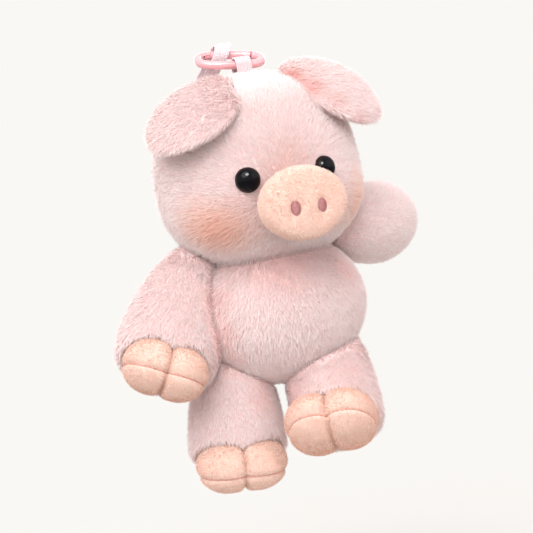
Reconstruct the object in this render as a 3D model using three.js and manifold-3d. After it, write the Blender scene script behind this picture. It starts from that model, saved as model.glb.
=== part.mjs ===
// A small plush pig that hangs from a ring clip by a tape on its head.
// Lengths are in millimetres and angles in degrees. X runs to the viewer's right, the face looks
// along -Y and Z is up. The working drawing has the soles at height zero and the neck at x = y = 0;
// the last lines move the origin to the hang tape, which is what holds the pig up.

import * as THREE from 'three';
import { mergeVertices } from 'three/addons/utils/BufferGeometryUtils.js';
import Module from 'manifold-3d';

const wasm = await Module();
wasm.setup();

// Clearances and cloth
const seamGap = 0.35; // between two pieces sewn or laid on each other
const clothWall = 1.8; // woven backing and the dense foot of the pile
const cutOverrun = 4;

// Head: an upright swollen form with a broad flat crown
const head = {
  width: 93,
  depth: 78,
  chinHeight: 94.5,
  crownHeight: 182.3,
  sideShift: 1,
  turnAngle: 12,
  neckHoleRadius: 13,
  neckTurnExtraDepth: 5.5,
  cheekBulge: 2.6,
  cheekHeight: 118,
  cheekReach: 15,
  cheekAngle: 57,
  cheekSpread: 26,
  cheekRoomShare: 0.33,
  neckHoleDepth: 7,
  around: 28,
  along: 14,
};
const headFullnessShares = [1.03, 1.06, 1.05, 1.0, 1.05, 1.24, 1.27];

// Body: widest low down, drawn in under the chin
const body = {
  width: 80,
  depth: 66,
  bottomHeight: 44,
  topHeight: 109,
  around: 24,
  along: 12,
};
const bodyFullnessShares = [0.85, 0.93, 0.97, 1.0, 1.04, 1.12, 1.12];

// Muzzle: a short round drum on the face, and its two stitched nostrils
const muzzle = {
  width: 38,
  height: 31,
  reach: 20,
  centreHeight: 122,
  rootDepth: 35,
  tilt: 4,
  nostrilWidth: 4.6,
  nostrilHeight: 6.4,
  nostrilSpacing: 11.8,
  nostrilDrop: 1.6,
  nostrilThickness: 1.6,
  nostrilSplay: 6,
  around: 18,
  along: 8,
};
const muzzleFullnessShares = [1.6, 1.35, 1.05, 1.0, 1.15, 1.55, 1.75];

// Eyes: domed buttons on shanks, locked by washers behind the cloth
const eye = {
  diameter: 10.6,
  dome: 4.2,
  spacing: 35.6,
  height: 135.8,
  shankRadius: 1.5,
  shankLength: 6.5,
  shankClearance: 0.3,
  washerRadius: 4.5,
  washerSetback: 1.3,
  washerThickness: 1.2,
  around: 14,
};

// Ears: flat leaves sewn to the crown, folded forwards and outwards; the right one lies flatter
const ear = {
  length: 51,
  rightWidth: 31,
  leftWidth: 35,
  thickness: 10.5,
  rightRootX: 12.5,
  leftRootX: 13,
  rootY: -10,
  rightRootHeight: 178,
  leftRootHeight: 180,
  rightTipX: 65,
  leftTipX: 54,
  tipY: -24,
  rightTipHeight: 145.5,
  leftTipHeight: 152.5,
  faceX: 0.3,
  faceY: -0.8,
  faceZ: 0.5,
  rightTwist: -20,
  rightBow: 3,
  leftBow: 5,
  liftAngle: 45,
  around: 14,
  along: 8,
};
const earFullnessShares = [0.62, 0.85, 1.0, 1.05, 1.12, 1.2, 1.25];
const earThicknessShares = [0.75, 0.8, 0.9, 1.0, 1.05, 1.1, 1.1];

// Arms: the pig's right arm hangs, the left one waves
const arm = {
  shoulderX: 35,
  shoulderHeight: 103,
  below: 58,
  around: 18,
  along: 10,
};
const armFullnessShares = [1.5, 1.45, 1.17, 0.93, 0.78, 0.66, 0.56];
const hangingArm = {
  width: 46,
  depth: 36,
  above: 12,
  y: -4,
  pitch: -13,
  lean: 27,
  turn: 0,
  twist: 0,
  range: [0, 40],
};
const wavingArm = {
  width: 38,
  depth: 41,
  above: 5,
  y: 3,
  pitch: 0,
  lean: -94,
  turn: 57,
  twist: 180,
  range: [0, 45],
};

// Legs: one stands, the other kicks forward
const leg = {
  hipHeight: 56,
  above: 13,
  below: 47,
  width: 45.5,
  depth: 41,
  partingX: -4.2,
  around: 18,
  along: 10,
};
const legFullnessShares = [1.9, 1.62, 1.13, 0.9, 0.88, 0.95, 1.0];
const standingLeg = { hipX: -25.3, pitch: 0, lean: 5, twist: 0, range: [-12, 20] };
const kickingLeg = { hipX: 17.5, pitch: -37.5, lean: 10.5, twist: -21, range: [-8, 10] };

// Trotters: two toe lobes, sewn together round a seam
const armTrotter = { width: 39, height: 25, depth: 31, drop: 48, forward: 9, seamShare: 0.4 };
const legTrotter = { width: 42, height: 25, depth: 36, drop: 41.5, forward: 8.5, seamShare: 0.36 };
const toeWidthShare = 0.56;
const toe = { around: 14, along: 8 };

// Tail: a small curl at the seat
const tail = {
  thickness: 5,
  curlRadius: 5,
  stemLength: 7,
  height: 60,
  rise: 4,
  turns: 0.75,
  steps: 12,
};

// Ring clip: an oval of painted wire with a spring gate in its rear arm
const ring = {
  outerLength: 31.5,
  outerWidth: 17.4,
  wire: 3.8,
  hingeX: -10,
  noseX: 10.4,
  lap: 1.8,
  gateGap: 0.3,
  tongueHeight: 1.3,
  tongueWidth: 3.2,
  pinRadius: 0.5,
  pinHoleRadius: 0.75,
  pinLength: 3.3,
  springRadius: 0.45,
  springBoreRadius: 0.75,
  springStart: 1.1,
  springLength: 4,
  tipUp: 24,
  rollAngle: 8,
  yawAngle: -13,
  squareness: 3,
  bodySteps: 24,
  gateSteps: 8,
};

// Hang tape: a folded strip sewn into the crown seam, round the front arm of the ring
const tape = {
  width: 6.6,
  thickness: 0.9,
  x: 2,
  y: 1,
  ringHeight: 185.4,
  clearance: 0.9,
  ringOffset: 4.4,
};

// Strap: a knitted loop round the rear arm that lies down the back of the head
const strap = {
  width: 7.6,
  thickness: 1.3,
  ringOffset: -4.4,
  clearance: 0.9,
  pinch: 0.6,
  standOff: 2,
  lean: 0.55,
  steps: 14,
  arcSteps: 6,
};
const strapRouteShares = [0.83, 0.76, 0.69, 0.63];

// Colours from the photograph: colour, roughness, metalness
const finishes = {
  pile: [0xf6dcd8, 0.95, 0],
  nap: [0xf6cbb6, 0.9, 0],
  nostril: [0xbf6472, 0.7, 0],
  wadding: [0xf4f2ee, 1, 0],
  eye: [0x120e10, 0.08, 0],
  washer: [0xe8e4de, 0.5, 0],
  paint: [0xf3aeb4, 0.25, 0],
  steel: [0xbfc2c6, 0.3, 1],
  webbing: [0xfaf0f1, 0.85, 0],
};

const radians = THREE.MathUtils.degToRad;
const xAxis = new THREE.Vector3(1, 0, 0);
const yAxis = new THREE.Vector3(0, 1, 0);
const zAxis = new THREE.Vector3(0, 0, 1);

// A smooth value along a row of evenly spaced shares
function along(shares, t) {
  const points = shares.map((share, index) => new THREE.Vector2(index, share));
  return new THREE.SplineCurve(points).getPoint(t).y;
}

// A closed form whose rings follow an ellipse from pole to pole, swollen by its shares.
// grow moves the surface outwards, and shape may push a point of the surface sideways.
function swollen(sizes, shares, grow = 0, shape = (point) => point) {
  const { width, depth, low, high, around, along: rings } = sizes;
  const depthShares = sizes.depthShares ?? shares;
  const positions = [];
  const bottom = low - grow;
  const height = high - low + 2 * grow;
  const add = (x, y, z) => positions.push(...shape(new THREE.Vector3(x, y, z)).toArray());
  add(0, 0, bottom);
  for (let i = 1; i < rings; i += 1) {
    const t = i / rings;
    const bulge = Math.sin(Math.PI * t);
    const halfWidth = (width / 2 + grow) * bulge * along(shares, t);
    const halfDepth = (depth / 2 + grow) * bulge * along(depthShares, t);
    const z = bottom + (height * (1 - Math.cos(Math.PI * t))) / 2;
    for (let j = 0; j < around; j += 1) {
      const angle = (2 * Math.PI * j) / around;
      add(halfWidth * Math.cos(angle), halfDepth * Math.sin(angle), z);
    }
  }
  add(0, 0, bottom + height);
  const faces = [];
  const top = 1 + (rings - 1) * around;
  for (let j = 0; j < around; j += 1) {
    const next = (j + 1) % around;
    faces.push(0, 1 + next, 1 + j);
    for (let i = 0; i < rings - 2; i += 1) {
      const lower = 1 + i * around;
      const upper = lower + around;
      faces.push(lower + j, lower + next, upper + next, lower + j, upper + next, upper + j);
    }
    faces.push(top, top - around + j, top - around + next);
  }
  const geometry = new THREE.BufferGeometry();
  geometry.setAttribute('position', new THREE.Float32BufferAttribute(positions, 3));
  geometry.setIndex(faces);
  return geometry;
}

// Joins and cuts
function solidOf(geometry) {
  const bare = geometry.clone();
  bare.deleteAttribute('normal');
  bare.deleteAttribute('uv');
  const merged = mergeVertices(bare);
  return new wasm.Manifold(
    new wasm.Mesh({
      numProp: 3,
      vertProperties: new Float32Array(merged.attributes.position.array),
      triVerts: new Uint32Array(merged.index.array),
    }),
  );
}

function geometryOf(solid) {
  const mesh = solid.getMesh();
  const geometry = new THREE.BufferGeometry();
  geometry.setAttribute('position', new THREE.Float32BufferAttribute(mesh.vertProperties, 3));
  geometry.setIndex([...mesh.triVerts]);
  return geometry;
}

function cut(geometry, ...cutters) {
  const solid = cutters.reduce((left, cutter) => left.subtract(solidOf(cutter)), solidOf(geometry));
  return geometryOf(solid);
}

function joined(first, ...others) {
  return geometryOf(others.reduce((sum, other) => sum.add(solidOf(other)), solidOf(first)));
}

function common(first, second) {
  return geometryOf(solidOf(first).intersect(solidOf(second)));
}

// Only the largest body of a cut stays, so no loose sliver is left
function largest(geometry) {
  const parts = solidOf(geometry).decompose();
  parts.sort((a, b) => b.volume() - a.volume());
  return geometryOf(parts[0]);
}

function moved(geometry, matrix) {
  return geometry.clone().applyMatrix4(matrix);
}

function placing(position, turn = new THREE.Euler()) {
  const spin = new THREE.Quaternion().setFromEuler(turn);
  return new THREE.Matrix4().compose(position, spin, new THREE.Vector3(1, 1, 1));
}

function angles(x, y, z) {
  return new THREE.Euler(radians(x), radians(y), radians(z), 'ZYX');
}

// A turn about an axis through a pivot
function swing(pivot, axis, angle) {
  const matrix = new THREE.Matrix4().makeRotationAxis(axis, radians(angle));
  const there = new THREE.Matrix4().makeTranslation(pivot.x, pivot.y, pivot.z);
  const back = new THREE.Matrix4().makeTranslation(-pivot.x, -pivot.y, -pivot.z);
  return there.multiply(matrix).multiply(back);
}

// A rod from one point along a direction
function rod(radius, from, direction, length, sides) {
  const geometry = new THREE.CylinderGeometry(radius, radius, length, sides);
  geometry.translate(0, length / 2, 0);
  const unit = direction.clone().normalize();
  const spin = new THREE.Quaternion().setFromUnitVectors(yAxis, unit);
  geometry.applyQuaternion(spin);
  return geometry.translate(from.x, from.y, from.z);
}

const pig = new THREE.Group();
const headGroup = new THREE.Group();
headGroup.position.x = head.sideShift;
headGroup.rotation.z = radians(head.turnAngle);
pig.add(headGroup);

function addMesh(parent, name, geometry, finish) {
  const [color, roughness, metalness] = finishes[finish];
  const material = new THREE.MeshStandardMaterial({ color, roughness, metalness });
  const mesh = new THREE.Mesh(geometry, material);
  mesh.name = name;
  parent.add(mesh);
  return mesh;
}

// Head form: the two cheeks push the surface out below and beside the muzzle
const headSizes = { ...head, low: head.chinHeight, high: head.crownHeight };

function cheeks(point) {
  const radius = Math.hypot(point.x, point.y);
  if (radius === 0) return point;
  const fromFront = THREE.MathUtils.radToDeg(Math.atan2(Math.abs(point.x), -point.y));
  const acrossShare = (fromFront - head.cheekAngle) / head.cheekSpread;
  const upShare = (point.z - head.cheekHeight) / head.cheekReach;
  const push = head.cheekBulge * Math.exp(-(acrossShare ** 2) - upShare ** 2);
  point.x += (push * point.x) / radius;
  point.y += (push * point.y) / radius;
  return point;
}

function headForm(grow, detail = {}) {
  return swollen({ ...headSizes, ...detail }, headFullnessShares, grow, cheeks);
}

// The room that the head sweeps as it turns on the neck, seen by the body and the arms
function headRoom(grow) {
  const sizes = { ...headSizes, depth: head.depth + head.neckTurnExtraDepth };
  const room = swollen(sizes, headFullnessShares, grow + head.cheekBulge * head.cheekRoomShare);
  return moved(room, headGroup.matrix);
}
headGroup.updateMatrix();

// A point of the head's surface in a direction from the head's axis, at a height
function onHead(x, height) {
  const share = (height - head.chinHeight) / (head.crownHeight - head.chinHeight);
  const t = Math.acos(1 - 2 * share) / Math.PI;
  const scale = Math.sin(Math.PI * t) * along(headFullnessShares, t);
  const halfWidth = (head.width / 2) * scale;
  const halfDepth = (head.depth / 2) * scale;
  return new THREE.Vector3(x, -halfDepth * Math.sqrt(1 - (x / halfWidth) ** 2), height);
}

const coarse = { around: 20, along: 10 };
const limbInside = { around: 12, along: 8 };

// Eyes: the shank stands square to the cloth
function eyeAxis(side) {
  const x = (side * eye.spacing) / 2;
  const seat = onHead(x, eye.height);
  const sideways = onHead(x + clothWall, eye.height).sub(onHead(x - clothWall, eye.height));
  const upwards = onHead(x, eye.height + clothWall).sub(onHead(x, eye.height - clothWall));
  const outward = sideways.cross(upwards).normalize();
  return { seat, outward };
}

function makeEye(side, name) {
  const { seat, outward } = eyeAxis(side);
  const dome = new THREE.SphereGeometry(eye.diameter / 2, eye.around, eye.around / 2);
  dome.scale(1, eye.dome / (eye.diameter / 2), 1);
  dome.applyQuaternion(new THREE.Quaternion().setFromUnitVectors(yAxis, outward));
  dome.translate(seat.x, seat.y, seat.z);
  const button = largest(cut(dome, headForm(seamGap)));
  const start = seat.clone().addScaledVector(outward, eye.dome / 2);
  const inward = outward.clone().negate();
  const shank = rod(eye.shankRadius, start, inward, eye.shankLength + eye.dome / 2, 10);
  addMesh(headGroup, `eye_${name}`, joined(button, shank), 'eye');
  const washerSeat = seat.clone().addScaledVector(inward, clothWall + eye.washerSetback);
  const disc = rod(eye.washerRadius, washerSeat, inward, eye.washerThickness, 16);
  const bore = rod(eye.shankRadius + eye.shankClearance, seat, inward, eye.shankLength, 10);
  addMesh(headGroup, `eye_washer_${name}`, cut(disc, bore), 'washer');
}

function eyeHole(side) {
  const { seat, outward } = eyeAxis(side);
  const start = seat.clone().addScaledVector(outward, cutOverrun);
  const reach = cutOverrun + eye.shankLength;
  return rod(eye.shankRadius + eye.shankClearance, start, outward.clone().negate(), reach, 10);
}

function eyePocket(side) {
  const { seat, outward } = eyeAxis(side);
  const start = seat.clone().addScaledVector(outward, cutOverrun);
  const reach = cutOverrun + eye.shankLength + eye.shankClearance;
  return rod(eye.washerRadius + eye.shankClearance, start, outward.clone().negate(), reach, 16);
}

// Tape: its side view is a folded strip, drawn in the YZ plane and carried across its width
const ringPivot = new THREE.Vector3(tape.x, tape.y, tape.ringHeight);

function tapeStrip(extra) {
  const inner = ring.wire / 2 + tape.clearance - extra;
  const outer = inner + tape.thickness + 2 * extra;
  const foot = head.crownHeight - clothWall - ringPivot.z;
  const shape = new THREE.Shape();
  shape.moveTo(outer, foot);
  shape.lineTo(outer, 0);
  shape.absarc(0, 0, outer, 0, Math.PI, false);
  shape.lineTo(-outer, foot);
  shape.lineTo(-inner, foot);
  shape.lineTo(-inner, 0);
  shape.absarc(0, 0, inner, Math.PI, 0, true);
  shape.lineTo(inner, foot);
  const depth = tape.width + 2 * extra;
  const strip = new THREE.ExtrudeGeometry(shape, { depth, bevelEnabled: false, curveSegments: 8 });
  strip.translate(0, 0, -depth / 2);
  strip.rotateX(Math.PI / 2);
  strip.rotateZ(Math.PI / 2);
  return strip.translate(ringPivot.x, ringPivot.y, ringPivot.z);
}

// Head cover, its filling and the eyes
const neckHole = rod(head.neckHoleRadius, new THREE.Vector3(0, 0, head.chinHeight - cutOverrun), zAxis,
  cutOverrun + head.neckHoleDepth, 20);
const headCover = cut(headForm(0), headForm(-clothWall, coarse), neckHole, eyeHole(-1), eyeHole(1),
  tapeStrip(seamGap));
addMesh(headGroup, 'head_cover', largest(headCover), 'pile');
const headFilling = cut(headForm(-clothWall - seamGap, coarse), eyePocket(-1), eyePocket(1));
addMesh(headGroup, 'head_filling', largest(headFilling), 'wadding');
makeEye(-1, 'right');
makeEye(1, 'left');
addMesh(headGroup, 'hang_tape', cut(tapeStrip(0), headForm(-clothWall, coarse)), 'webbing');

// Muzzle
const muzzleFacing = new THREE.Matrix4().makeRotationX(radians(90 - muzzle.tilt));
const muzzleSeat = placing(new THREE.Vector3(0, -muzzle.rootDepth, muzzle.centreHeight));

function muzzleForm(grow) {
  const sizes = { ...muzzle, depth: muzzle.height, low: 0, high: muzzle.reach };
  const drum = swollen(sizes, muzzleFullnessShares, grow);
  return moved(moved(drum, muzzleFacing), muzzleSeat);
}

const muzzleCover = cut(muzzleForm(0), muzzleForm(-clothWall), headForm(seamGap));
addMesh(headGroup, 'muzzle_cover', largest(muzzleCover), 'nap');
const muzzleFilling = cut(muzzleForm(-clothWall - seamGap), headForm(seamGap));
addMesh(headGroup, 'muzzle_filling', largest(muzzleFilling), 'wadding');

for (const [side, name] of [[-1, 'right'], [1, 'left']]) {
  const patch = new THREE.SphereGeometry(1, 14, 10);
  patch.scale(muzzle.nostrilWidth / 2, muzzle.nostrilThickness, muzzle.nostrilHeight / 2);
  patch.rotateY(radians(-side * muzzle.nostrilSplay));
  const y = -muzzle.rootDepth - muzzle.reach + muzzle.nostrilThickness / 2;
  const z = muzzle.centreHeight - muzzle.nostrilDrop;
  patch.translate((side * muzzle.nostrilSpacing) / 2, y, z);
  addMesh(headGroup, `nostril_${name}`, largest(cut(patch, muzzleForm(seamGap))), 'nostril');
}

// Ears: each is an outer leaf over a lining, cut where it would press the head when it is lifted
function earPlacing(side) {
  const rootX = side < 0 ? -ear.rightRootX : ear.leftRootX;
  const tipX = side < 0 ? -ear.rightTipX : ear.leftTipX;
  const tipHeight = side < 0 ? ear.rightTipHeight : ear.leftTipHeight;
  const rootHeight = side < 0 ? ear.rightRootHeight : ear.leftRootHeight;
  const root = new THREE.Vector3(rootX, ear.rootY, rootHeight);
  const tip = new THREE.Vector3(tipX, ear.tipY, tipHeight);
  const down = root.clone().sub(tip).normalize();
  const face = new THREE.Vector3(side * ear.faceX, ear.faceY, ear.faceZ);
  face.addScaledVector(down, -face.dot(down)).normalize();
  if (side < 0) face.applyAxisAngle(down, radians(ear.rightTwist));
  const across = new THREE.Vector3().crossVectors(face, down);
  const basis = new THREE.Matrix4().makeBasis(across, face, down);
  return { root, across, matrix: basis.setPosition(root) };
}

function earForm(side, grow = 0) {
  const width = side < 0 ? ear.rightWidth : ear.leftWidth;
  const span = { low: -ear.length, high: 0, depth: ear.thickness, depthShares: earThicknessShares };
  const sizes = { ...ear, ...span, width };
  const bow = side < 0 ? ear.rightBow : ear.leftBow;
  const bend = (point) => {
    const share = -point.z / ear.length;
    point.y += bow * Math.sin(Math.PI * Math.min(1, Math.max(0, share)));
    return point;
  };
  return moved(swollen(sizes, earFullnessShares, grow, bend), earPlacing(side).matrix);
}

function earBed(side, lift) {
  const { root, across } = earPlacing(side);
  return moved(headForm(seamGap), swing(root, across, lift));
}

for (const [side, name] of [[-1, 'right'], [1, 'left']]) {
  const beds = [0, 0.5, 1].map((share) => earBed(side, -share * ear.liftAngle));
  const leaf = cut(earForm(side), ...beds);
  const bow = side < 0 ? ear.rightBow : ear.leftBow;
  const slab = new THREE.BoxGeometry(ear.length * 2, ear.thickness, ear.length * 3);
  slab.translate(0, bow / 2 - ear.thickness / 2, 0);
  const under = moved(slab, earPlacing(side).matrix);
  const apart = new THREE.BoxGeometry(ear.length * 2, ear.thickness, ear.length * 3);
  apart.translate(0, bow / 2 - ear.thickness / 2 + seamGap, 0);
  addMesh(headGroup, `ear_outer_${name}`, largest(cut(leaf, moved(apart, earPlacing(side).matrix))), 'pile');
  addMesh(headGroup, `ear_lining_${name}`, largest(common(leaf, under)), 'pile');
}

// Body
function bodyForm(grow, detail = {}) {
  const sizes = { ...body, low: body.bottomHeight, high: body.topHeight, ...detail };
  return swollen(sizes, bodyFullnessShares, grow);
}

const bodyCover = cut(bodyForm(0), bodyForm(-clothWall, coarse), headRoom(seamGap));
addMesh(pig, 'body_cover', largest(bodyCover), 'pile');
const bodyFilling = cut(bodyForm(-clothWall - seamGap, coarse), headRoom(seamGap));
addMesh(pig, 'body_filling', largest(bodyFilling), 'wadding');

// Trotters: two round toes side by side, split at the seam round the hoof
function trotterForm(sizes, grow) {
  const toes = [-1, 1].map((side) => {
    const lobe = new THREE.SphereGeometry(1, toe.around, toe.along);
    const halfWidth = (sizes.width * toeWidthShare) / 2;
    lobe.scale(halfWidth + grow, sizes.depth / 2 + grow, sizes.height / 2 + grow);
    return lobe.translate(side * (sizes.width / 2 - halfWidth), -sizes.forward, -sizes.drop);
  });
  return joined(...toes);
}

function addTrotter(group, name, sizes) {
  const form = trotterForm(sizes, 0);
  const seam = sizes.height * (sizes.seamShare - 0.5) - sizes.drop;
  for (const [half, side] of [['upper', 1], ['sole', -1]]) {
    const slab = new THREE.BoxGeometry(sizes.width * 3, sizes.width * 3, sizes.height);
    slab.translate(0, 0, seam + (side * (sizes.height + seamGap)) / 2);
    addMesh(group, `trotter_${half}_${name}`, largest(common(form, slab)), 'nap');
  }
}

// Limbs: a swollen form about the joint, cut by the larger forms that it lies against
function addLimb(name, kind, sizes, shares, pose, trotter, cutters, restCutters = []) {
  const group = new THREE.Group();
  group.position.copy(pose.pivot);
  group.quaternion.setFromEuler(pose.turn);
  group.rotateZ(radians(pose.twist));
  group.updateMatrix();
  pig.add(group);
  const back = group.matrix.clone().invert();
  const [from, to] = pose.range;
  const beds = restCutters.map((cutter) => moved(cutter, back));
  for (const share of [0, 0.5, 1]) {
    const angle = from + share * (to - from);
    const swung = swing(pose.pivot, pose.axis, -angle);
    for (const cutter of cutters) beds.push(moved(cutter, back.clone().multiply(swung)));
  }
  const form = (grow, detail = {}) =>
    swollen({ ...sizes, low: -sizes.below, high: sizes.above, ...detail }, shares, grow);
  const hoof = trotterForm(trotter, seamGap);
  const cover = cut(form(0), ...beds, hoof, form(-clothWall, limbInside));
  addMesh(group, `${kind}_cover_${name}`, largest(cover), 'pile');
  const filling = cut(form(-clothWall - seamGap, limbInside), ...beds, hoof);
  addMesh(group, `${kind}_filling_${name}`, largest(filling), 'wadding');
  addTrotter(group, `${kind}_${name}`, trotter);
  return group;
}

// The legs press flat on each other between the thighs, and the hanging arm gives way to its leg
function otherThigh(side) {
  const reach = 2 * (leg.width + leg.below);
  const slab = new THREE.BoxGeometry(reach, reach, reach);
  const x = leg.partingX + (side * (seamGap - reach)) / 2;
  return slab.translate(x, 0, leg.hipHeight);
}

const legRoom = [];
for (const [side, name, pose] of [[-1, 'right', standingLeg], [1, 'left', kickingLeg]]) {
  const pivot = new THREE.Vector3(pose.hipX, 0, leg.hipHeight);
  const group = addLimb(name, 'leg', leg, legFullnessShares, {
    pivot,
    turn: angles(pose.pitch, pose.lean, 0),
    axis: xAxis,
    range: pose.range,
    twist: pose.twist,
  }, legTrotter, [bodyForm(seamGap), otherThigh(side)]);
  const thighSizes = { ...leg, low: -leg.below, high: leg.above };
  const thigh = moved(swollen(thighSizes, legFullnessShares, seamGap), group.matrix);
  for (const angle of [0, ...pose.range]) legRoom.push(moved(thigh, swing(pivot, xAxis, angle)));
}

for (const [side, name, pose] of [[-1, 'right', hangingArm], [1, 'left', wavingArm]]) {
  const { width, depth, above } = pose;
  addLimb(name, 'arm', { ...arm, width, depth, above }, armFullnessShares, {
    pivot: new THREE.Vector3(side * arm.shoulderX, pose.y, arm.shoulderHeight),
    turn: angles(pose.pitch, pose.lean, pose.turn),
    axis: yAxis,
    range: pose.range,
    twist: pose.twist,
  }, armTrotter, [bodyForm(seamGap), headRoom(seamGap)], legRoom);
}

// Ring clip: the wire follows a squared oval; the gate closes its rear arm
const ringHalfLength = (ring.outerLength - ring.wire) / 2;
const ringHalfWidth = (ring.outerWidth - ring.wire) / 2;
const wireRadius = ring.wire / 2;

function ringPoint(angle) {
  const c = Math.cos(angle);
  const d = Math.sin(angle);
  const power = 2 / ring.squareness;
  const x = ringHalfLength * Math.sign(c) * Math.abs(c) ** power;
  const y = ringHalfWidth * Math.sign(d) * Math.abs(d) ** power;
  return new THREE.Vector3(x, y, 0);
}

function ringAngle(x) {
  return Math.acos(Math.sign(x) * Math.abs(x / ringHalfLength) ** (ring.squareness / 2));
}

function wireAlong(fromAngle, toAngle, steps) {
  const points = [];
  const sweep = toAngle - fromAngle;
  for (let i = 0; i <= steps; i += 1) points.push(ringPoint(fromAngle + (sweep * i) / steps));
  const section = new THREE.Shape().absarc(0, 0, wireRadius, 0, 2 * Math.PI);
  const extrudePath = new THREE.CatmullRomCurve3(points);
  return new THREE.ExtrudeGeometry(section, { steps, extrudePath, bevelEnabled: false, curveSegments: 5 });
}

function block(width, depth, height, x, y, z) {
  return new THREE.BoxGeometry(width, depth, height).translate(x, y, z);
}

function upright(radius, height, at, sides) {
  const foot = at.clone().addScaledVector(zAxis, -height / 2);
  return rod(radius, foot, zAxis, height, sides);
}

const ringGroup = new THREE.Group();
ringGroup.rotation.copy(angles(ring.tipUp, ring.rollAngle, ring.yawAngle));
const frontArm = ringPoint(-ringAngle(tape.ringOffset));
ringGroup.position.copy(ringPivot).sub(frontArm.clone().applyEuler(ringGroup.rotation));
ringGroup.updateMatrix();
headGroup.add(ringGroup);

const hinge = ringPoint(ringAngle(ring.hingeX));
const nose = ringPoint(ringAngle(ring.noseX));
const gateStart = ringPoint(ringAngle(ring.hingeX + wireRadius + ring.gateGap));
const gateLine = gateStart.clone().sub(hinge).normalize();
const lapMiddle = ringPoint(ringAngle(ring.noseX - ring.lap / 2));
const slotHeight = ring.tongueHeight + 2 * ring.gateGap;

const bodyFrom = ringAngle(ring.noseX - ring.lap);
const bodyWire = wireAlong(bodyFrom, ringAngle(ring.hingeX) - 2 * Math.PI, ring.bodySteps);
const lapCut = block(ring.lap, ring.wire, ring.wire * 2, nose.x - ring.lap / 2, lapMiddle.y - wireRadius, 0);
lapCut.translate(-ring.gateGap, 0, 0);
const knuckleStart = gateLine.clone().multiplyScalar(-ring.wire);
const knuckle = common(
  upright(wireRadius, ring.wire, hinge, 16),
  moved(rod(wireRadius, knuckleStart, gateLine, ring.wire * 2, 10), placing(hinge)),
);
const tongueRoom = upright(wireRadius + ring.gateGap, slotHeight, hinge, 16);
const pinHole = upright(ring.pinHoleRadius, ring.wire * 2, hinge, 10);
const ringBody = cut(joined(bodyWire, knuckle), lapCut, tongueRoom, pinHole);
addMesh(ringGroup, 'ring_body', largest(ringBody), 'paint');

const gateFrom = ringAngle(ring.hingeX + wireRadius + ring.gateGap);
const gateWire = wireAlong(gateFrom, ringAngle(ring.noseX - ring.gateGap), ring.gateSteps);
const lapRoom = block(ring.lap + ring.gateGap, ring.wire, ring.wire * 2, nose.x - ring.lap / 2, 0, 0);
lapRoom.translate(0, lapMiddle.y + wireRadius - ring.gateGap, 0);
const tongueEye = upright(wireRadius - ring.gateGap / 2, ring.tongueHeight, hinge, 16);
const bridge = rod(1, new THREE.Vector3(), yAxis, 1, 4);
bridge.rotateY(Math.PI / 4);
bridge.scale(ring.tongueWidth / Math.SQRT2, ring.wire, ring.tongueHeight / Math.SQRT2);
bridge.applyQuaternion(new THREE.Quaternion().setFromUnitVectors(yAxis, gateLine));
bridge.translate(hinge.x, hinge.y, 0);
const boreStart = hinge.clone().addScaledVector(gateLine, ring.springStart - ring.gateGap);
const springBore = rod(ring.springBoreRadius, boreStart, gateLine, ring.springLength + 2 * ring.gateGap, 8);
const gate = cut(joined(gateWire, tongueEye, bridge), lapRoom, pinHole, springBore);
addMesh(ringGroup, 'ring_gate', largest(gate), 'paint');
addMesh(ringGroup, 'gate_pin', upright(ring.pinRadius, ring.pinLength, hinge, 10), 'steel');
const springStart = hinge.clone().addScaledVector(gateLine, ring.springStart);
const spring = rod(ring.springRadius, springStart, gateLine, ring.springLength, 8);
addMesh(ringGroup, 'gate_spring', spring, 'steel');

// Strap: a flattened loop whose middle line runs from the rear arm down the back of the head
function headBack(x, height) {
  const share = (height - head.chinHeight) / (head.crownHeight - head.chinHeight);
  const t = Math.acos(1 - 2 * share) / Math.PI;
  const scale = Math.sin(Math.PI * t) * along(headFullnessShares, t);
  return (head.depth / 2) * scale * Math.sqrt(Math.max(0, 1 - (x / ((head.width / 2) * scale)) ** 2));
}

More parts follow.
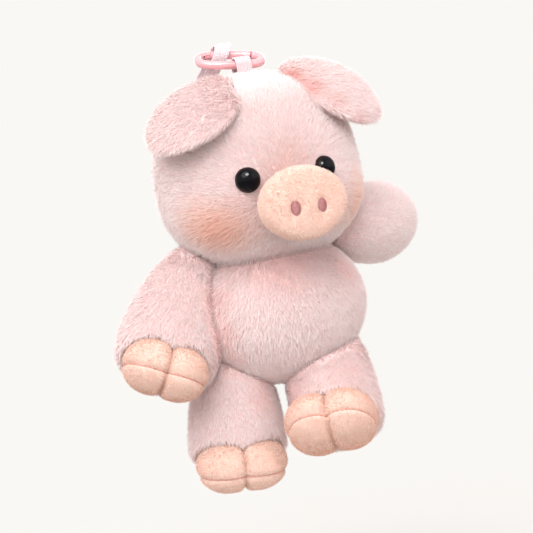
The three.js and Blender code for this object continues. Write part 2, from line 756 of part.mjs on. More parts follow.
function strapLoop() {
  const rear = ringPoint(ringAngle(strap.ringOffset)).applyMatrix4(ringGroup.matrix);
  const away = strap.standOff + strap.pinch + strap.thickness;
  const headHeight = head.crownHeight - head.chinHeight;
  const route = [new THREE.Vector2(rear.y, rear.z)];
  for (const share of strapRouteShares) {
    const height = head.chinHeight + share * headHeight;
    const x = rear.x - strap.lean * (rear.z - height) + strap.width / 2;
    const slope = headBack(x, height + away) - headBack(x, height - away);
    const normal = new THREE.Vector2(2 * away, -slope).normalize();
    route.push(new THREE.Vector2(headBack(x, height), height).addScaledVector(normal, away));
  }
  const middle = new THREE.SplineCurve(route);
  const archRadius = wireRadius + strap.clearance;
  const outline = (extra) => {
    const left = [];
    const right = [];
    for (let i = 0; i <= strap.steps; i += 1) {
      const share = i / strap.steps;
      const tangent = middle.getTangent(share);
      const normal = new THREE.Vector2(-tangent.y, tangent.x);
      const ease = Math.min(1, share * 3);
      const open = archRadius + (strap.pinch - archRadius) * ease * ease * (3 - 2 * ease) + extra;
      const point = middle.getPoint(share);
      left.push(point.clone().addScaledVector(normal, open));
      right.unshift(point.clone().addScaledVector(normal, -open));
    }
    const end = (centre, from, radius) => {
      const cap = [];
      const start = Math.atan2(from.y - centre.y, from.x - centre.x);
      for (let i = 1; i < strap.arcSteps; i += 1) {
        const angle = start - (Math.PI * i) / strap.arcSteps;
        const spoke = new THREE.Vector2(Math.cos(angle), Math.sin(angle));
        cap.push(spoke.multiplyScalar(radius).add(centre));
      }
      return cap;
    };
    const foot = end(middle.getPoint(1), left.at(-1), strap.pinch + extra);
    const arch = end(middle.getPoint(0), right.at(-1), archRadius + extra);
    return [...left, ...foot, ...right, ...arch];
  };
  const shape = new THREE.Shape(outline(strap.thickness));
  shape.holes.push(new THREE.Path(outline(0).reverse()));
  const loop = new THREE.ExtrudeGeometry(shape, { depth: strap.width, bevelEnabled: false });
  loop.translate(0, 0, -strap.width / 2);
  loop.rotateX(Math.PI / 2);
  loop.rotateZ(Math.PI / 2);
  const shear = new THREE.Matrix4().set(1, 0, strap.lean, 0, 0, 1, 0, 0, 0, 0, 1, 0, 0, 0, 0, 1);
  return loop.applyMatrix4(shear).translate(rear.x - strap.lean * rear.z, 0, 0);
}
addMesh(headGroup, 'strap', strapLoop(), 'webbing');

// Tail
function tailCurl() {
  const points = [new THREE.Vector3(0, 0, 0), new THREE.Vector3(0, tail.stemLength, 0)];
  for (let i = 1; i <= tail.steps; i += 1) {
    const share = i / tail.steps;
    const angle = 2 * Math.PI * tail.turns * share;
    const x = tail.curlRadius * (1 - Math.cos(angle));
    const y = tail.stemLength + tail.curlRadius * Math.sin(angle);
    points.push(new THREE.Vector3(x, y, tail.rise * share));
  }
  const section = new THREE.Shape().absarc(0, 0, tail.thickness / 2, 0, 2 * Math.PI);
  const extrudePath = new THREE.CatmullRomCurve3(points);
  const steps = tail.steps + 2;
  const options = { steps, extrudePath, bevelEnabled: false, curveSegments: 4 };
  const tube = new THREE.ExtrudeGeometry(section, options);
  const share = (tail.height - body.bottomHeight) / (body.topHeight - body.bottomHeight);
  const t = Math.acos(1 - 2 * share) / Math.PI;
  const seat = (body.depth / 2) * Math.sin(Math.PI * t) * along(bodyFullnessShares, t);
  return tube.translate(0, seat - tail.thickness / 2, tail.height);
}
addMesh(pig, 'tail', largest(cut(tailCurl(), bodyForm(seamGap))), 'nap');

// The origin is the middle of the tape's loop, where the ring hangs the pig
headGroup.updateMatrix();
pig.position.copy(ringPivot.clone().applyMatrix4(headGroup.matrix)).negate();

export default pig;
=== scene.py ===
import bmesh
import bpy
import numpy as np
from mathutils import Matrix, Vector


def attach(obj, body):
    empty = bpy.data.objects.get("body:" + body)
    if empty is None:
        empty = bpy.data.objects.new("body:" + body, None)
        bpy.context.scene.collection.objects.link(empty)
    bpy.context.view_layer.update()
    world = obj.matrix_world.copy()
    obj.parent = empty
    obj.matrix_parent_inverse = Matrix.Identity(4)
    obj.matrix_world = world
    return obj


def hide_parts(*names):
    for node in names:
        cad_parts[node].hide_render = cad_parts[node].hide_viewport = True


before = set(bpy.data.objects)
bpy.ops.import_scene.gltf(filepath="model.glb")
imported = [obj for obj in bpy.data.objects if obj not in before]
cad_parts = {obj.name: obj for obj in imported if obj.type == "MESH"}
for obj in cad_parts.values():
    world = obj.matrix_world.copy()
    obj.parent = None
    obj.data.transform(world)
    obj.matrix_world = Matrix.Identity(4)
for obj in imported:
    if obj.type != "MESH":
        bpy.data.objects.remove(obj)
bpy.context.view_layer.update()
print("frame loaded")

# Lengths below are millimetres of the working drawing (soles near 0, neck on x = y = 0).
# The frame's origin is the middle of the hang tape's loop.
tapeLoop = np.array([2.7484, 1.3940, 185.4])


def toFrame(points):
    # metres in the frame = (drawing - tape loop) / 1000
    return (np.asarray(points, float) - tapeLoop) * 0.001


def turnAbout(axis, degrees):
    # Rodrigues: R = I + sin(a) K + (1 - cos(a)) K^2
    x, y, z = np.asarray(axis, float) / np.linalg.norm(axis)
    k = np.array([[0, -z, y], [z, 0, -x], [-y, x, 0]])
    a = np.radians(degrees)
    return np.eye(3) + np.sin(a) * k + (1 - np.cos(a)) * (k @ k)


xAxis, yAxis, zAxis = np.eye(3)


def unit(v):
    # v / |v|
    return v / np.maximum(np.linalg.norm(v, axis=-1, keepdims=True), 1e-9)


# Smooth values and noise

def smoothShares(shares, t):
    # Catmull-Rom curve through evenly spaced shares, read at t from 0 to 1
    s = np.asarray(shares, float)
    n = len(s)
    p = np.clip(t, 0, 1) * (n - 1)
    i = np.minimum(p.astype(int), n - 2)
    w = p - i
    p0, p1, p2, p3 = s[np.maximum(i - 1, 0)], s[i], s[i + 1], s[np.minimum(i + 2, n - 1)]
    a, b = (p2 - p0) / 2, (p3 - p1) / 2
    return (2 * p1 - 2 * p2 + a + b) * w**3 + (3 * p2 - 3 * p1 - 2 * a - b) * w**2 + a * w + p1


def lattice(ix, iy, iz, seed):
    # a repeatable number from 0 to 1 for each lattice point
    h = (ix * 73856093) ^ (iy * 19349663) ^ (iz * 83492791) ^ (seed * 2654435761)
    h = (h ^ (h >> 13)) * 1274126177
    return ((h ^ (h >> 16)) & 0xFFFF) / 65535.0


def softNoise(points, size, seed):
    # value noise: lattice numbers blended with 3w^2 - 2w^3, from -1 to 1
    q = np.asarray(points, float) / size
    i = np.floor(q).astype(np.int64)
    w = q - i
    w = w * w * (3 - 2 * w)
    total = 0
    for dx in (0, 1):
        for dy in (0, 1):
            for dz in (0, 1):
                share = (w[:, 0] if dx else 1 - w[:, 0]) * (w[:, 1] if dy else 1 - w[:, 1])
                share = share * (w[:, 2] if dz else 1 - w[:, 2])
                total = total + share * lattice(i[:, 0] + dx, i[:, 1] + dy, i[:, 2] + dz, seed)
    return 2 * total - 1


# Swollen forms

pressLook = {"rounds": 14, "step": 0.4, "cap": 1.6, "longest": 3.0}


class Form:
    # half width = (W/2 + grow) sin(pi t) share(t), height = low + H (1 - cos(pi t)) / 2,
    # point = place + turn @ bend(half width cos(a), half depth sin(a), height)
    # low and high are its ends, and the shares narrow or widen it from pole to pole
    def __init__(self, width, depth, low, high, shares, turn=np.eye(3), place=(0, 0, 0),
                 depthShares=None, bend=None):
        self.width, self.depth, self.low, self.high = width, depth, low, high
        self.shares, self.depthShares = shares, depthShares or shares
        self.turn, self.place, self.bend = np.asarray(turn), np.asarray(place, float), bend

    def local(self, t, angle, grow=0.0):
        # the surface at t from pole to pole and an angle round the axis, in the form's own directions
        bulge = np.sin(np.pi * t)
        x = (self.width / 2 + grow) * bulge * smoothShares(self.shares, t) * np.cos(angle)
        y = (self.depth / 2 + grow) * bulge * smoothShares(self.depthShares, t) * np.sin(angle)
        z = self.low - grow + (self.high - self.low + 2 * grow) * (1 - np.cos(np.pi * t)) / 2
        p = np.stack(np.broadcast_arrays(x, y, z), -1)
        return self.bend(p) if self.bend else p

    def world(self, p):
        # turn @ p + place
        return p @ self.turn.T + self.place

    def toLocal(self, p):
        # the other way: turn transposed @ (p - place)
        return (p - self.place) @ self.turn

    def level(self, points, grow=0.0):
        # how far out a point is: 1 on the surface, less inside (read without the bend)
        p = self.toLocal(points)
        height = self.high - self.low + 2 * grow
        share = (p[..., 2] - self.low + grow) / height
        inside = (share > 0) & (share < 1)
        t = np.arccos(1 - 2 * np.clip(share, 1e-4, 1 - 1e-4)) / np.pi
        bulge = np.sin(np.pi * t)
        hw = (self.width / 2 + grow) * bulge * smoothShares(self.shares, t)
        hd = (self.depth / 2 + grow) * bulge * smoothShares(self.depthShares, t)
        s = np.hypot(p[..., 0] / hw, p[..., 1] / hd)
        return np.where(inside, s, 3.0)

    def pressed(self, points, grow=0.0):
        # points inside are walked out along the level's slope: p += (1 - f) grad / |grad|^2
        p, reachOut, cap = points.copy(), pressLook["step"], pressLook["cap"]
        for _ in range(pressLook["rounds"]):
            f = self.level(p, grow)
            deep = f < 0.999
            if not deep.any():
                break
            q = p[deep]
            slope = np.stack([(np.minimum(self.level(q + e * reachOut, grow), cap)
                               - np.minimum(self.level(q - e * reachOut, grow), cap)) / (2 * reachOut)
                              for e in np.eye(3)], -1)
            size = np.maximum((slope**2).sum(-1, keepdims=True), 1e-5)
            step = (1.0005 - f[deep])[:, None] * slope / size
            far = np.maximum(np.linalg.norm(step, axis=-1, keepdims=True) / pressLook["longest"], 1)
            p[deep] = q + step / far
        return p


def ringGrid(form, around, rings, grow=0.0):
    # grid of t (rows, pole to pole) by angle (columns, closed)
    t = np.linspace(0, 1, rings + 1)[:, None]
    a = np.linspace(0, 2 * np.pi, around, endpoint=False)[None, :]
    return form.world(form.local(t, a, grow))


# Meshes

def meshObject(name, verts, faces, uv=None):
    # a smooth-shaded object at the origin; uv gives one pair for each point
    mesh = bpy.data.meshes.new(name)
    mesh.from_pydata(verts.tolist(), [], faces)
    mesh.polygons.foreach_set("use_smooth", np.ones(len(mesh.polygons), bool))
    if uv is not None:
        layer = mesh.uv_layers.new(name="weave")
        loops = np.zeros(len(mesh.loops), np.int32)
        mesh.loops.foreach_get("vertex_index", loops)
        layer.data.foreach_set("uv", uv[loops].astype(np.float32).ravel())
    obj = bpy.data.objects.new(name, mesh)
    bpy.context.scene.collection.objects.link(obj)
    return obj


def closedSkin(name, grid):
    # rows 1..n-1 of the grid plus one point for each pole; quads between rows, triangles at poles
    rows, cols = grid.shape[0] - 1, grid.shape[1]
    verts = np.concatenate([grid[0].mean(0)[None], grid[1:-1].reshape(-1, 3), grid[-1].mean(0)[None]])
    j = np.arange(cols)
    k = (j + 1) % cols
    base = 1 + np.arange(rows - 2)[:, None] * cols
    quads = np.stack([base + j, base + k, base + cols + k, base + cols + j], -1).reshape(-1, 4)
    top = len(verts) - 1
    low = np.stack([np.zeros(cols, int), 1 + k, 1 + j], -1)
    high = np.stack([np.full(cols, top), top - cols + j, top - cols + k], -1)
    return meshObject(name, toFrame(verts), quads.tolist() + low.tolist() + high.tolist())


def bandFaces(rows, cols, closed):
    # quads between rows of closed rings; an open band gets one flat face at each end
    i = np.arange(rows if closed else rows - 1)[:, None]
    j = np.arange(cols)[None]
    k, nxt = (j + 1) % cols, (i + 1) % rows
    quads = np.stack(np.broadcast_arrays(i * cols + j, i * cols + k, nxt * cols + k, nxt * cols + j), -1)
    faces = quads.reshape(-1, 4).tolist()
    if not closed:
        faces += [list(range(cols))[::-1], list(range((rows - 1) * cols, rows * cols))]
    return faces


def tubeAlong(name, path, radius, sides, closed=False, frameUp=(0, 0, 1)):
    # point = path + r (cos(a) side + sin(a) up), with side = tangent x frameUp and up = side x tangent
    path = np.asarray(path, float)
    n = len(path)
    if closed:
        tangent = unit(np.roll(path, -1, 0) - np.roll(path, 1, 0))
    else:
        tangent = unit(np.gradient(path, axis=0))
    side = unit(np.cross(tangent, frameUp))
    up = np.cross(side, tangent)
    r = np.broadcast_to(radius, n)[:, None, None]
    a = np.linspace(0, 2 * np.pi, sides, endpoint=False)[None, :, None]
    rings = path[:, None] + r * (np.cos(a) * side[:, None] + np.sin(a) * up[:, None])
    return meshObject(name, toFrame(rings.reshape(-1, 3)), bandFaces(n, sides, closed))


def fixNormals(obj):
    # every face turned to point out of its closed shell
    bm = bmesh.new()
    bm.from_mesh(obj.data)
    bmesh.ops.recalc_face_normals(bm, faces=bm.faces)
    bm.to_mesh(obj.data)
    bm.free()
    return obj


# Pile: short tapering hairs
hairLook = {"shortest": 0.72, "longer": 0.28, "uneven": 0.16, "unevenSize": 0.8, "leastRise": 0.25,
            "edgeTurn": 0.25, "thirdFoot": 0.6}


def gridNormals(grid):
    # cross product of the two grid directions, turned outwards
    du = np.roll(grid, -1, 1) - np.roll(grid, 1, 1)
    dv = np.gradient(grid, axis=0)
    n = unit(np.cross(du, dv))
    middle = grid.reshape(-1, 3).mean(0)
    return n if ((grid - middle) * n).sum() > 0 else -n


def scatter(grid, perArea, rng):
    # points spread evenly over the quads: area-weighted pick, then bilinear inside the quad
    n = gridNormals(grid)
    n[0], n[-1] = n[1].mean(0), n[-2].mean(0)
    n = unit(n)
    a, b = grid[:-1], np.roll(grid, -1, 1)[:-1]
    c, d = grid[1:], np.roll(grid, -1, 1)[1:]
    area = (np.linalg.norm(np.cross(b - a, c - a), axis=-1) / 2
            + np.linalg.norm(np.cross(b - d, c - d), axis=-1) / 2)
    count = int(area.sum() * perArea)
    pick = rng.choice(area.size, count, p=(area / area.sum()).ravel())
    r, k = np.unravel_index(pick, area.shape)
    u, v = rng.random((2, count, 1))

    def blend(g):
        # (1 - v) ((1 - u) g + u h) + v (the same of the next row), h one column on
        h = np.roll(g, -1, 1)
        return (1 - v) * ((1 - u) * g[r, k] + u * h[r, k]) + v * ((1 - u) * g[r + 1, k] + u * h[r + 1, k])

    return blend(grid), unit(blend(n))


def makePile(name, root, normal, comb, opts, lengthAt, rng):
    # hair: a flat blade of three feet and one tip,
    # tip = root + length * unit(normal + lean * comb + clump + swirl + stray)
    count = len(root)
    clump = np.stack([softNoise(root, opts["clumpSize"], s) for s in (11, 12, 13)], -1)
    swirl = np.stack([softNoise(root, opts["swirlSize"], s) for s in (21, 22, 23)], -1)
    stray = rng.normal(0, opts["stray"], (count, 3))
    aim = normal + comb * opts["lean"] + clump * opts["clump"] + swirl * opts["swirl"] + stray
    aim = unit(aim)
    up = (aim * normal).sum(-1, keepdims=True)
    aim = unit(aim + normal * np.maximum(hairLook["leastRise"] - up, 0))
    length = opts["length"] * (hairLook["shortest"] + hairLook["longer"] * rng.random((count, 1))) * lengthAt
    uneven = softNoise(root, opts["clumpSize"] * hairLook["unevenSize"], 31)[:, None]
    length = length * (1 + hairLook["uneven"] * uneven)
    side = unit(np.cross(normal + rng.normal(0, hairLook["edgeTurn"], (count, 3)), aim))
    across = np.cross(aim, side)
    half = opts["thick"] / 2
    feet = [root + half * side, root + hairLook["thirdFoot"] * half * across, root - half * side]
    tip = root + aim * length
    verts = np.stack([*feet, tip], 1).reshape(-1, 3)
    s = np.arange(count)[:, None] * 4
    faces = np.concatenate([s + [0, 1, 3], s + [1, 2, 3], s + [2, 0, 3], s + [0, 2, 1]], 1).reshape(-1, 3)
    mesh = bpy.data.meshes.new(name)
    mesh.vertices.add(count * 4)
    mesh.vertices.foreach_set("co", toFrame(verts).astype(np.float32).ravel())
    mesh.loops.add(count * 12)
    mesh.loops.foreach_set("vertex_index", faces.astype(np.int32).ravel())
    mesh.polygons.add(count * 4)
    mesh.polygons.foreach_set("loop_start", np.arange(0, count * 12, 3, dtype=np.int32))
    mesh.update(calc_edges=True)
    mesh.polygons.foreach_set("use_smooth", np.zeros(count * 4, bool))
    cells = int(np.ceil(np.sqrt(count)))
    corner = np.stack([np.arange(count) % cells, np.arange(count) // cells], -1)[:, None]
    spots = np.array([[0.15, 0.12], [0.85, 0.12], [0.5, 0.2], [0.5, 0.9]])
    uv = ((corner + spots) / cells).reshape(-1, 2)
    layer = mesh.uv_layers.new(name="OFBake")
    layer.data.foreach_set("uv", uv[faces.ravel()].astype(np.float32).ravel())
    along = mesh.attributes.new("along", "FLOAT", "POINT")  # 0 at the feet, 1 at the tip
    along.data.foreach_set("value", np.tile([0, 0, 0, 1], count).astype(np.float32))
    tint = mesh.attributes.new("tint", "FLOAT", "POINT")
    tint.data.foreach_set("value", np.repeat(rng.random(count), 4).astype(np.float32))
    obj = bpy.data.objects.new(name, mesh)
    bpy.context.scene.collection.objects.link(obj)
    return obj


def furCoat(name, grid, opts, combAt, keepAt, body, material, slotName, seed, pieces=1,
            lengthAt=None, lieAt=None):
    # hairs over a grid, cut into pieces of one size by their place round the form;
    # comb = combAt less its share along the normal, times lieAt
    rng = np.random.default_rng(seed)
    root, normal = scatter(grid, opts["perArea"], rng)
    keep = keepAt(root)
    root, normal = root[keep], normal[keep]
    comb = combAt(root)
    comb = unit(comb - (comb * normal).sum(-1, keepdims=True) * normal)
    if lieAt is not None:
        comb = comb * lieAt(root)[:, None]
    scale = np.ones(len(root)) if lengthAt is None else lengthAt(root)
    middle = root.mean(0)
    order = np.argsort(np.arctan2(root[:, 1] - middle[1], root[:, 0] - middle[0]))
    for number, part in enumerate(np.array_split(order, pieces)):
        label = name if pieces == 1 else f"{name}{number + 1}"
        piece = makePile(label, root[part], normal[part], comb[part], opts, scale[part, None], rng)
        dress(piece, material, body, slotName)
    print(name, len(root), "hairs")


def dress(obj, material, body, slotName, *nodes):
    # one material, the body it rides on and the solids it stands for; the slot name is not used
    obj.data.materials.clear()
    obj.data.materials.append(material)
    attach(obj, body)
    if nodes:
        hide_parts(*nodes)


# Shaders

def rgb(r, g, b):
    # sRGB 0-255 to linear
    c = np.array([r, g, b]) / 255
    return (*np.where(c <= 0.04045, c / 12.92, ((c + 0.055) / 1.055) ** 2.4), 1.0)


class Wire:
    # one shader value; + - * / ** on it add Math nodes
    def __init__(self, shade, socket):
        self.shade, self.socket = shade, socket

    def maths(self, operation, other, swap=False):
        # one Math node on this value and another, the other first where swap is set
        pair = {0: other, 1: self} if swap else {0: self, 1: other}
        return self.shade.node("ShaderNodeMath", {"operation": operation}, pair)["Value"]

    def __add__(self, other): return self.maths("ADD", other)
    def __radd__(self, other): return self.maths("ADD", other, True)
    def __sub__(self, other): return self.maths("SUBTRACT", other)
    def __rsub__(self, other): return self.maths("SUBTRACT", other, True)
    def __mul__(self, other): return self.maths("MULTIPLY", other)
    def __rmul__(self, other): return self.maths("MULTIPLY", other, True)
    def __truediv__(self, other): return self.maths("DIVIDE", other)
    def __rtruediv__(self, other): return self.maths("DIVIDE", other, True)
    def __pow__(self, other): return self.maths("POWER", other)
    def __rpow__(self, other): return self.maths("POWER", other, True)
    def high(self, other): return self.maths("MAXIMUM", other)
    def wave(self): return self.maths("SINE", 0.0)


class Shade:
    # a node tree of a material, or of the world: node(type, settings, sockets) returns its outputs by name
    def __init__(self, name, owner=None):
        self.material = owner or bpy.data.materials.new(name)
        self.material.use_nodes = True
        self.tree = self.material.node_tree
        self.tree.nodes.clear()

    def node(self, kind, settings=None, sockets=None):
        n = self.tree.nodes.new(kind)
        for key, value in (settings or {}).items():
            if key == "stops":
                ramp = n.color_ramp.elements
                while len(ramp) < len(value):
                    ramp.new(0.5)
                for stop, (place, colour) in zip(ramp, value):
                    stop.position, stop.color = place, colour
            else:
                setattr(n, key, value)
        for key, value in (sockets or {}).items():
            if isinstance(value, Wire):
                self.tree.links.new(value.socket, n.inputs[key])
            else:
                n.inputs[key].default_value = value
        return {o.name: Wire(self, o) for o in n.outputs if o.enabled}

    def mix(self, share, a, b, kind="MIX"):
        # a (1 - share) + b share, or a times b where the kind is MULTIPLY
        n = self.tree.nodes.new("ShaderNodeMix")
        n.data_type, n.blend_type, n.clamp_factor = "RGBA", kind, True
        for index, value in ((0, share), (6, a), (7, b)):
            if isinstance(value, Wire):
                self.tree.links.new(value.socket, n.inputs[index])
            else:
                n.inputs[index].default_value = value
        return Wire(self, n.outputs[2])

    def place(self):
        # the point's place in metres of the frame
        return self.node("ShaderNodeTexCoord")["Object"]

    def noise(self, vector, scale, detail=2.0, rough=0.5):
        # smooth noise from 0 to 1, scale cells to a metre
        return self.node("ShaderNodeTexNoise", {}, {"Vector": vector, "Scale": scale, "Detail": detail,
                                                    "Roughness": rough})["Fac"]

    def attribute(self, name):
        return self.node("ShaderNodeAttribute", {"attribute_name": name})["Fac"]

    def nearness(self, vector, spot, size):
        # 1 at the spot, easing to 0 at size: w w (3 - 2 w) with w = 1 - |p - spot| / size
        away = self.node("ShaderNodeVectorMath", {"operation": "DISTANCE"}, {0: vector, 1: spot})["Value"]
        share = (1.0 - away / size).high(0.0)
        return share * share * (3.0 - 2.0 * share)

    def weave(self):
        # across and along a band, from its own uv
        place = self.node("ShaderNodeUVMap", {"uv_map": "weave"})["UV"]
        parts = self.node("ShaderNodeSeparateXYZ", {}, {"Vector": place})
        return parts["X"], parts["Y"]

    def bump(self, height, distance, strength=1.0):
        # relief of distance metres where the height goes from 0 to 1
        return self.node("ShaderNodeBump", {}, {"Height": height, "Distance": distance,
                                                "Strength": strength})["Normal"]

    def surface(self, sockets):
        # one Principled shader as the whole surface
        shader = self.node("ShaderNodeBsdfPrincipled", {}, sockets)["BSDF"]
        self.node("ShaderNodeOutputMaterial", {}, {"Surface": shader})
        return self.material


# tones: blush is the cheeks' own colour; fold and crease are painted shade for the ear's fold and the body's
# creases
furLook = {
    "tip": rgb(255, 253, 252), "body": rgb(254, 247, 245), "root": rgb(250, 216, 213),
    "warm": rgb(255, 240, 235), "blush": rgb(255, 234, 221), "foldShade": rgb(250, 206, 198),
    "creaseShade": rgb(253, 234, 232), "cloudScale": 60.0, "grainScale": 1100.0, "grain": 2.4,
    "rootShare": 0.3, "fromRoot": 0.6, "backingScale": 1800.0,
}


def blushedAndShaded(s, p, colour, spots):
    # each spot multiplies the colour by its tone, by nearness times strength: blush is the cheeks' own
    # colour, fold and crease are painted shade
    for spot, size, strength, tone in spots:
        colour = s.mix(s.nearness(p, spot, size) * strength, colour, furLook[tone], "MULTIPLY")
    return colour


def furMaterial(name, spots):
    # root colour at the foot, and towards the tip a mottled pink with paler hairs among it
    s = Shade(name)
    p = s.place()
    along, tint = s.attribute("along"), s.attribute("tint")
    cloud = s.noise(p, furLook["cloudScale"], 3.0)
    base = s.mix(cloud, furLook["body"], furLook["warm"])
    grain = s.noise(p, furLook["grainScale"], 2.0)
    deeper = s.mix(furLook["rootShare"], base, furLook["root"])
    tipped = s.mix((grain - 0.5) * furLook["grain"] + tint, deeper, furLook["tip"])
    colour = s.mix(along ** furLook["fromRoot"], furLook["root"], tipped)
    colour = blushedAndShaded(s, p, colour, spots)
    return s.surface({"Base Color": colour, "Roughness": 0.9, "Specular IOR Level": 0.1,
                      "Sheen Weight": 0.12, "Sheen Roughness": 0.6})


def backingMaterial(name, spots):
    # the cloth under the hairs: root colour speckled with the coat's own pinks, glowing faintly in the root
    # colour as painted light for light scattered in the pile
    s = Shade(name)
    p = s.place()
    fine = s.noise(p, furLook["backingScale"], 2.0)
    cloud = s.noise(p, furLook["cloudScale"], 3.0)
    colour = s.mix(fine, furLook["root"], s.mix(cloud, furLook["body"], furLook["warm"]))
    colour = blushedAndShaded(s, p, colour, spots)
    # the faint glow in the root colour is painted light, standing in for light scattered among the hairs
    return s.surface({"Base Color": colour, "Roughness": 0.95, "Normal": s.bump(fine, 0.0004),
                      "Emission Color": furLook["root"], "Emission Strength": 0.05})


napLook = {"light": rgb(254, 236, 223), "mid": rgb(250, 217, 201), "root": rgb(245, 199, 181),
           "cloudScale": 120.0, "fineScale": 2200.0, "grainScale": 1300.0, "grain": 3.0, "rootShare": 0.5}


def napMaterial(name, hair=True):
    # peach mottled by noise; the hairs go from a deeper foot to a paler tip, the cloth is speckled
    s = Shade(name)
    p = s.place()
    cloud = s.noise(p, napLook["cloudScale"], 2.0)
    base = s.mix(cloud, napLook["mid"], napLook["light"])
    if hair:
        grain = (s.noise(p, napLook["grainScale"], 2.0, 0.7) - 0.5) * napLook["grain"]
        deeper = s.mix(napLook["rootShare"], base, napLook["root"])
        tipped = s.mix(grain + s.attribute("tint"), deeper, napLook["light"])
        colour = s.mix(s.attribute("along"), deeper, tipped)
        return s.surface({"Base Color": colour, "Roughness": 0.85, "Sheen Weight": 0.2,
                          "Specular IOR Level": 0.2})
    fine = s.noise(p, napLook["fineScale"], 3.0, 0.6)
    colour = s.mix(fine * napLook["rootShare"], base, napLook["root"])
    return s.surface({"Base Color": colour, "Roughness": 0.95, "Normal": s.bump(fine, 0.0003)})


def plainMaterial(name, light, dark, size, depth, rough, **sockets):
    # two tones mottled by noise of one size, with the same noise as relief
    s = Shade(name)
    grain = s.noise(s.place(), size, 3.0)
    return s.surface({"Base Color": s.mix(grain, dark, light), "Roughness": rough,
                      "Normal": s.bump(grain, depth), **sockets})


headTurn = turnAbout(zAxis, 12)
headPlace = np.array([1.0, 0, 0])


def headSpot(x, y, z):
    # a place given in the head's own directions, in metres of the frame
    return tuple(toFrame(headTurn @ np.array([x, y, z]) + headPlace))


def bodySpot(x, y, z):
    # the same for a place given in the body's directions
    return tuple(toFrame(np.array([x, y, z])))


# spots: place, size in metres, strength and tone; blush is the cheeks' own colour, and the crease spots are
# painted shade in the neck, arm and belly creases
blushAndShadeSpots = [(headSpot(-36, -22, 118), 0.021, 1.0, "blush"), (headSpot(-27, -30, 115), 0.02, 0.8, "blush"),
              (headSpot(36, -22, 118), 0.022, 1.0, "blush"), (headSpot(1, -40, 141), 0.014, 0.25, "blush"),
              # the crease spots from here on are painted shade in the neck, arm-body and belly creases
              (bodySpot(0, -22, 92), 0.02, 0.7, "creaseShade"), (bodySpot(-27, -18, 86), 0.011, 0.8, "creaseShade"),
              (bodySpot(-27, -20, 73), 0.011, 0.8, "creaseShade"), (bodySpot(-27, -20, 60), 0.011, 0.8, "creaseShade"),
              (bodySpot(-13, -18, 42), 0.013, 0.8, "creaseShade"), (bodySpot(2, -20, 38), 0.013, 0.8, "creaseShade"),
              (bodySpot(17, -22, 42), 0.013, 0.8, "creaseShade"), (bodySpot(27, -14, 88), 0.012, 0.7, "creaseShade")]
# painted shade: deeper pink down the left ear's fold, where it curves in towards the head
foldShadeSpots = [(headSpot(16, -20, 176), 0.009, 0.8, "foldShade"), (headSpot(22, -24, 168), 0.009, 0.9, "foldShade"),
             (headSpot(30, -26, 160), 0.009, 0.9, "foldShade"), (headSpot(38, -27, 152), 0.009, 0.7, "foldShade")]

furPink, furEar = furMaterial("pinkPile", blushAndShadeSpots), furMaterial("pinkEarPile", foldShadeSpots)
furBacking, earBacking = backingMaterial("pileBacking", blushAndShadeSpots), backingMaterial("earBacking", foldShadeSpots)
napHair = napMaterial("peachNapHair")
napCloth = napMaterial("peachNap", False)
print("materials made")


# Head: the swollen form with two cheeks, turned on the neck
headLook = {"around": 112, "rings": 72, "skinDepth": 2.0, "pieces": 3, "eyeSwell": 0.7, "eyeSwellSize": 7.5,
            "cheekPush": 2.6, "cheekDegrees": 57, "cheekSpread": 26, "cheekHeight": 118, "cheekTall": 15,
            "combDepth": 30, "combShare": 0.3, "eyeBare": 0.2, "muzzleBare": 1.2, "neckBare": 94}
headHair = {"shortest": 0.45, "longer": 0.55, "eyeFrom": 5, "eyeFade": 6, "muzzleFade": 0.35,
            "atMuzzle": 0.3, "pastMuzzle": 0.7}
lieLook = {"fade": 0.12, "least": 0.15}
longPile = {"perArea": 4.5, "length": 3.6, "thick": 0.37, "lean": 1.55, "stray": 0.2, "clump": 0.16,
            "swirl": 0.22, "clumpSize": 1.7, "swirlSize": 11.0}


def cheekPush(p):
    # away from the axis by cheekPush exp(-(degrees from the cheek / spread)^2 - (height from it / tall)^2)
    look = headLook
    radius = np.hypot(p[..., 0], p[..., 1])
    fromFront = np.degrees(np.arctan2(np.abs(p[..., 0]), -p[..., 1]))
    aside, above = fromFront - look["cheekDegrees"], p[..., 2] - look["cheekHeight"]
    push = look["cheekPush"] * np.exp(-(aside / look["cheekSpread"]) ** 2 - (above / look["cheekTall"]) ** 2)
    scale = 1 + push / np.maximum(radius, 1e-6)
    return p * np.stack([scale, scale, np.ones_like(scale)], -1)


def reach(form, x, height):
    # y of the form's front at a place: -D/2 scale sqrt(1 - (x / (W/2 scale))^2), scale = sin(pi t) share(t)
    t = np.arccos(1 - 2 * (height - form.low) / (form.high - form.low)) / np.pi
    scale = np.sin(np.pi * t) * smoothShares(form.shares, np.array(t))
    return -form.depth / 2 * scale * np.sqrt(1 - (x / (form.width / 2 * scale)) ** 2)


def liesClear(points, *near):
    # hair lies flat away from a neighbouring form and stands up beside it: clip((level - 1) / fade)
    clear = np.minimum.reduce([form.level(points, 0.0) - 1 for form in near])
    return np.clip(clear / lieLook["fade"], lieLook["least"], 1)


bodyForm = Form(80, 66, 44, 109, [0.85, 0.93, 0.97, 1.0, 1.04, 1.12, 1.12])
headForm = Form(93, 78, 94.5, 182.3, [1.03, 1.06, 1.05, 1.0, 1.05, 1.24, 1.27], headTurn, headPlace,
                bend=cheekPush)
muzzleTurn = headTurn @ turnAbout(xAxis, 86)
muzzleForm = Form(38, 31, 0, 20, [1.6, 1.35, 1.05, 1.0, 1.15, 1.55, 1.75], muzzleTurn,
                  headTurn @ np.array([0, -35, 122]) + headPlace)
muzzleMiddle = muzzleForm.world(np.array([0, 0, 8.0]))

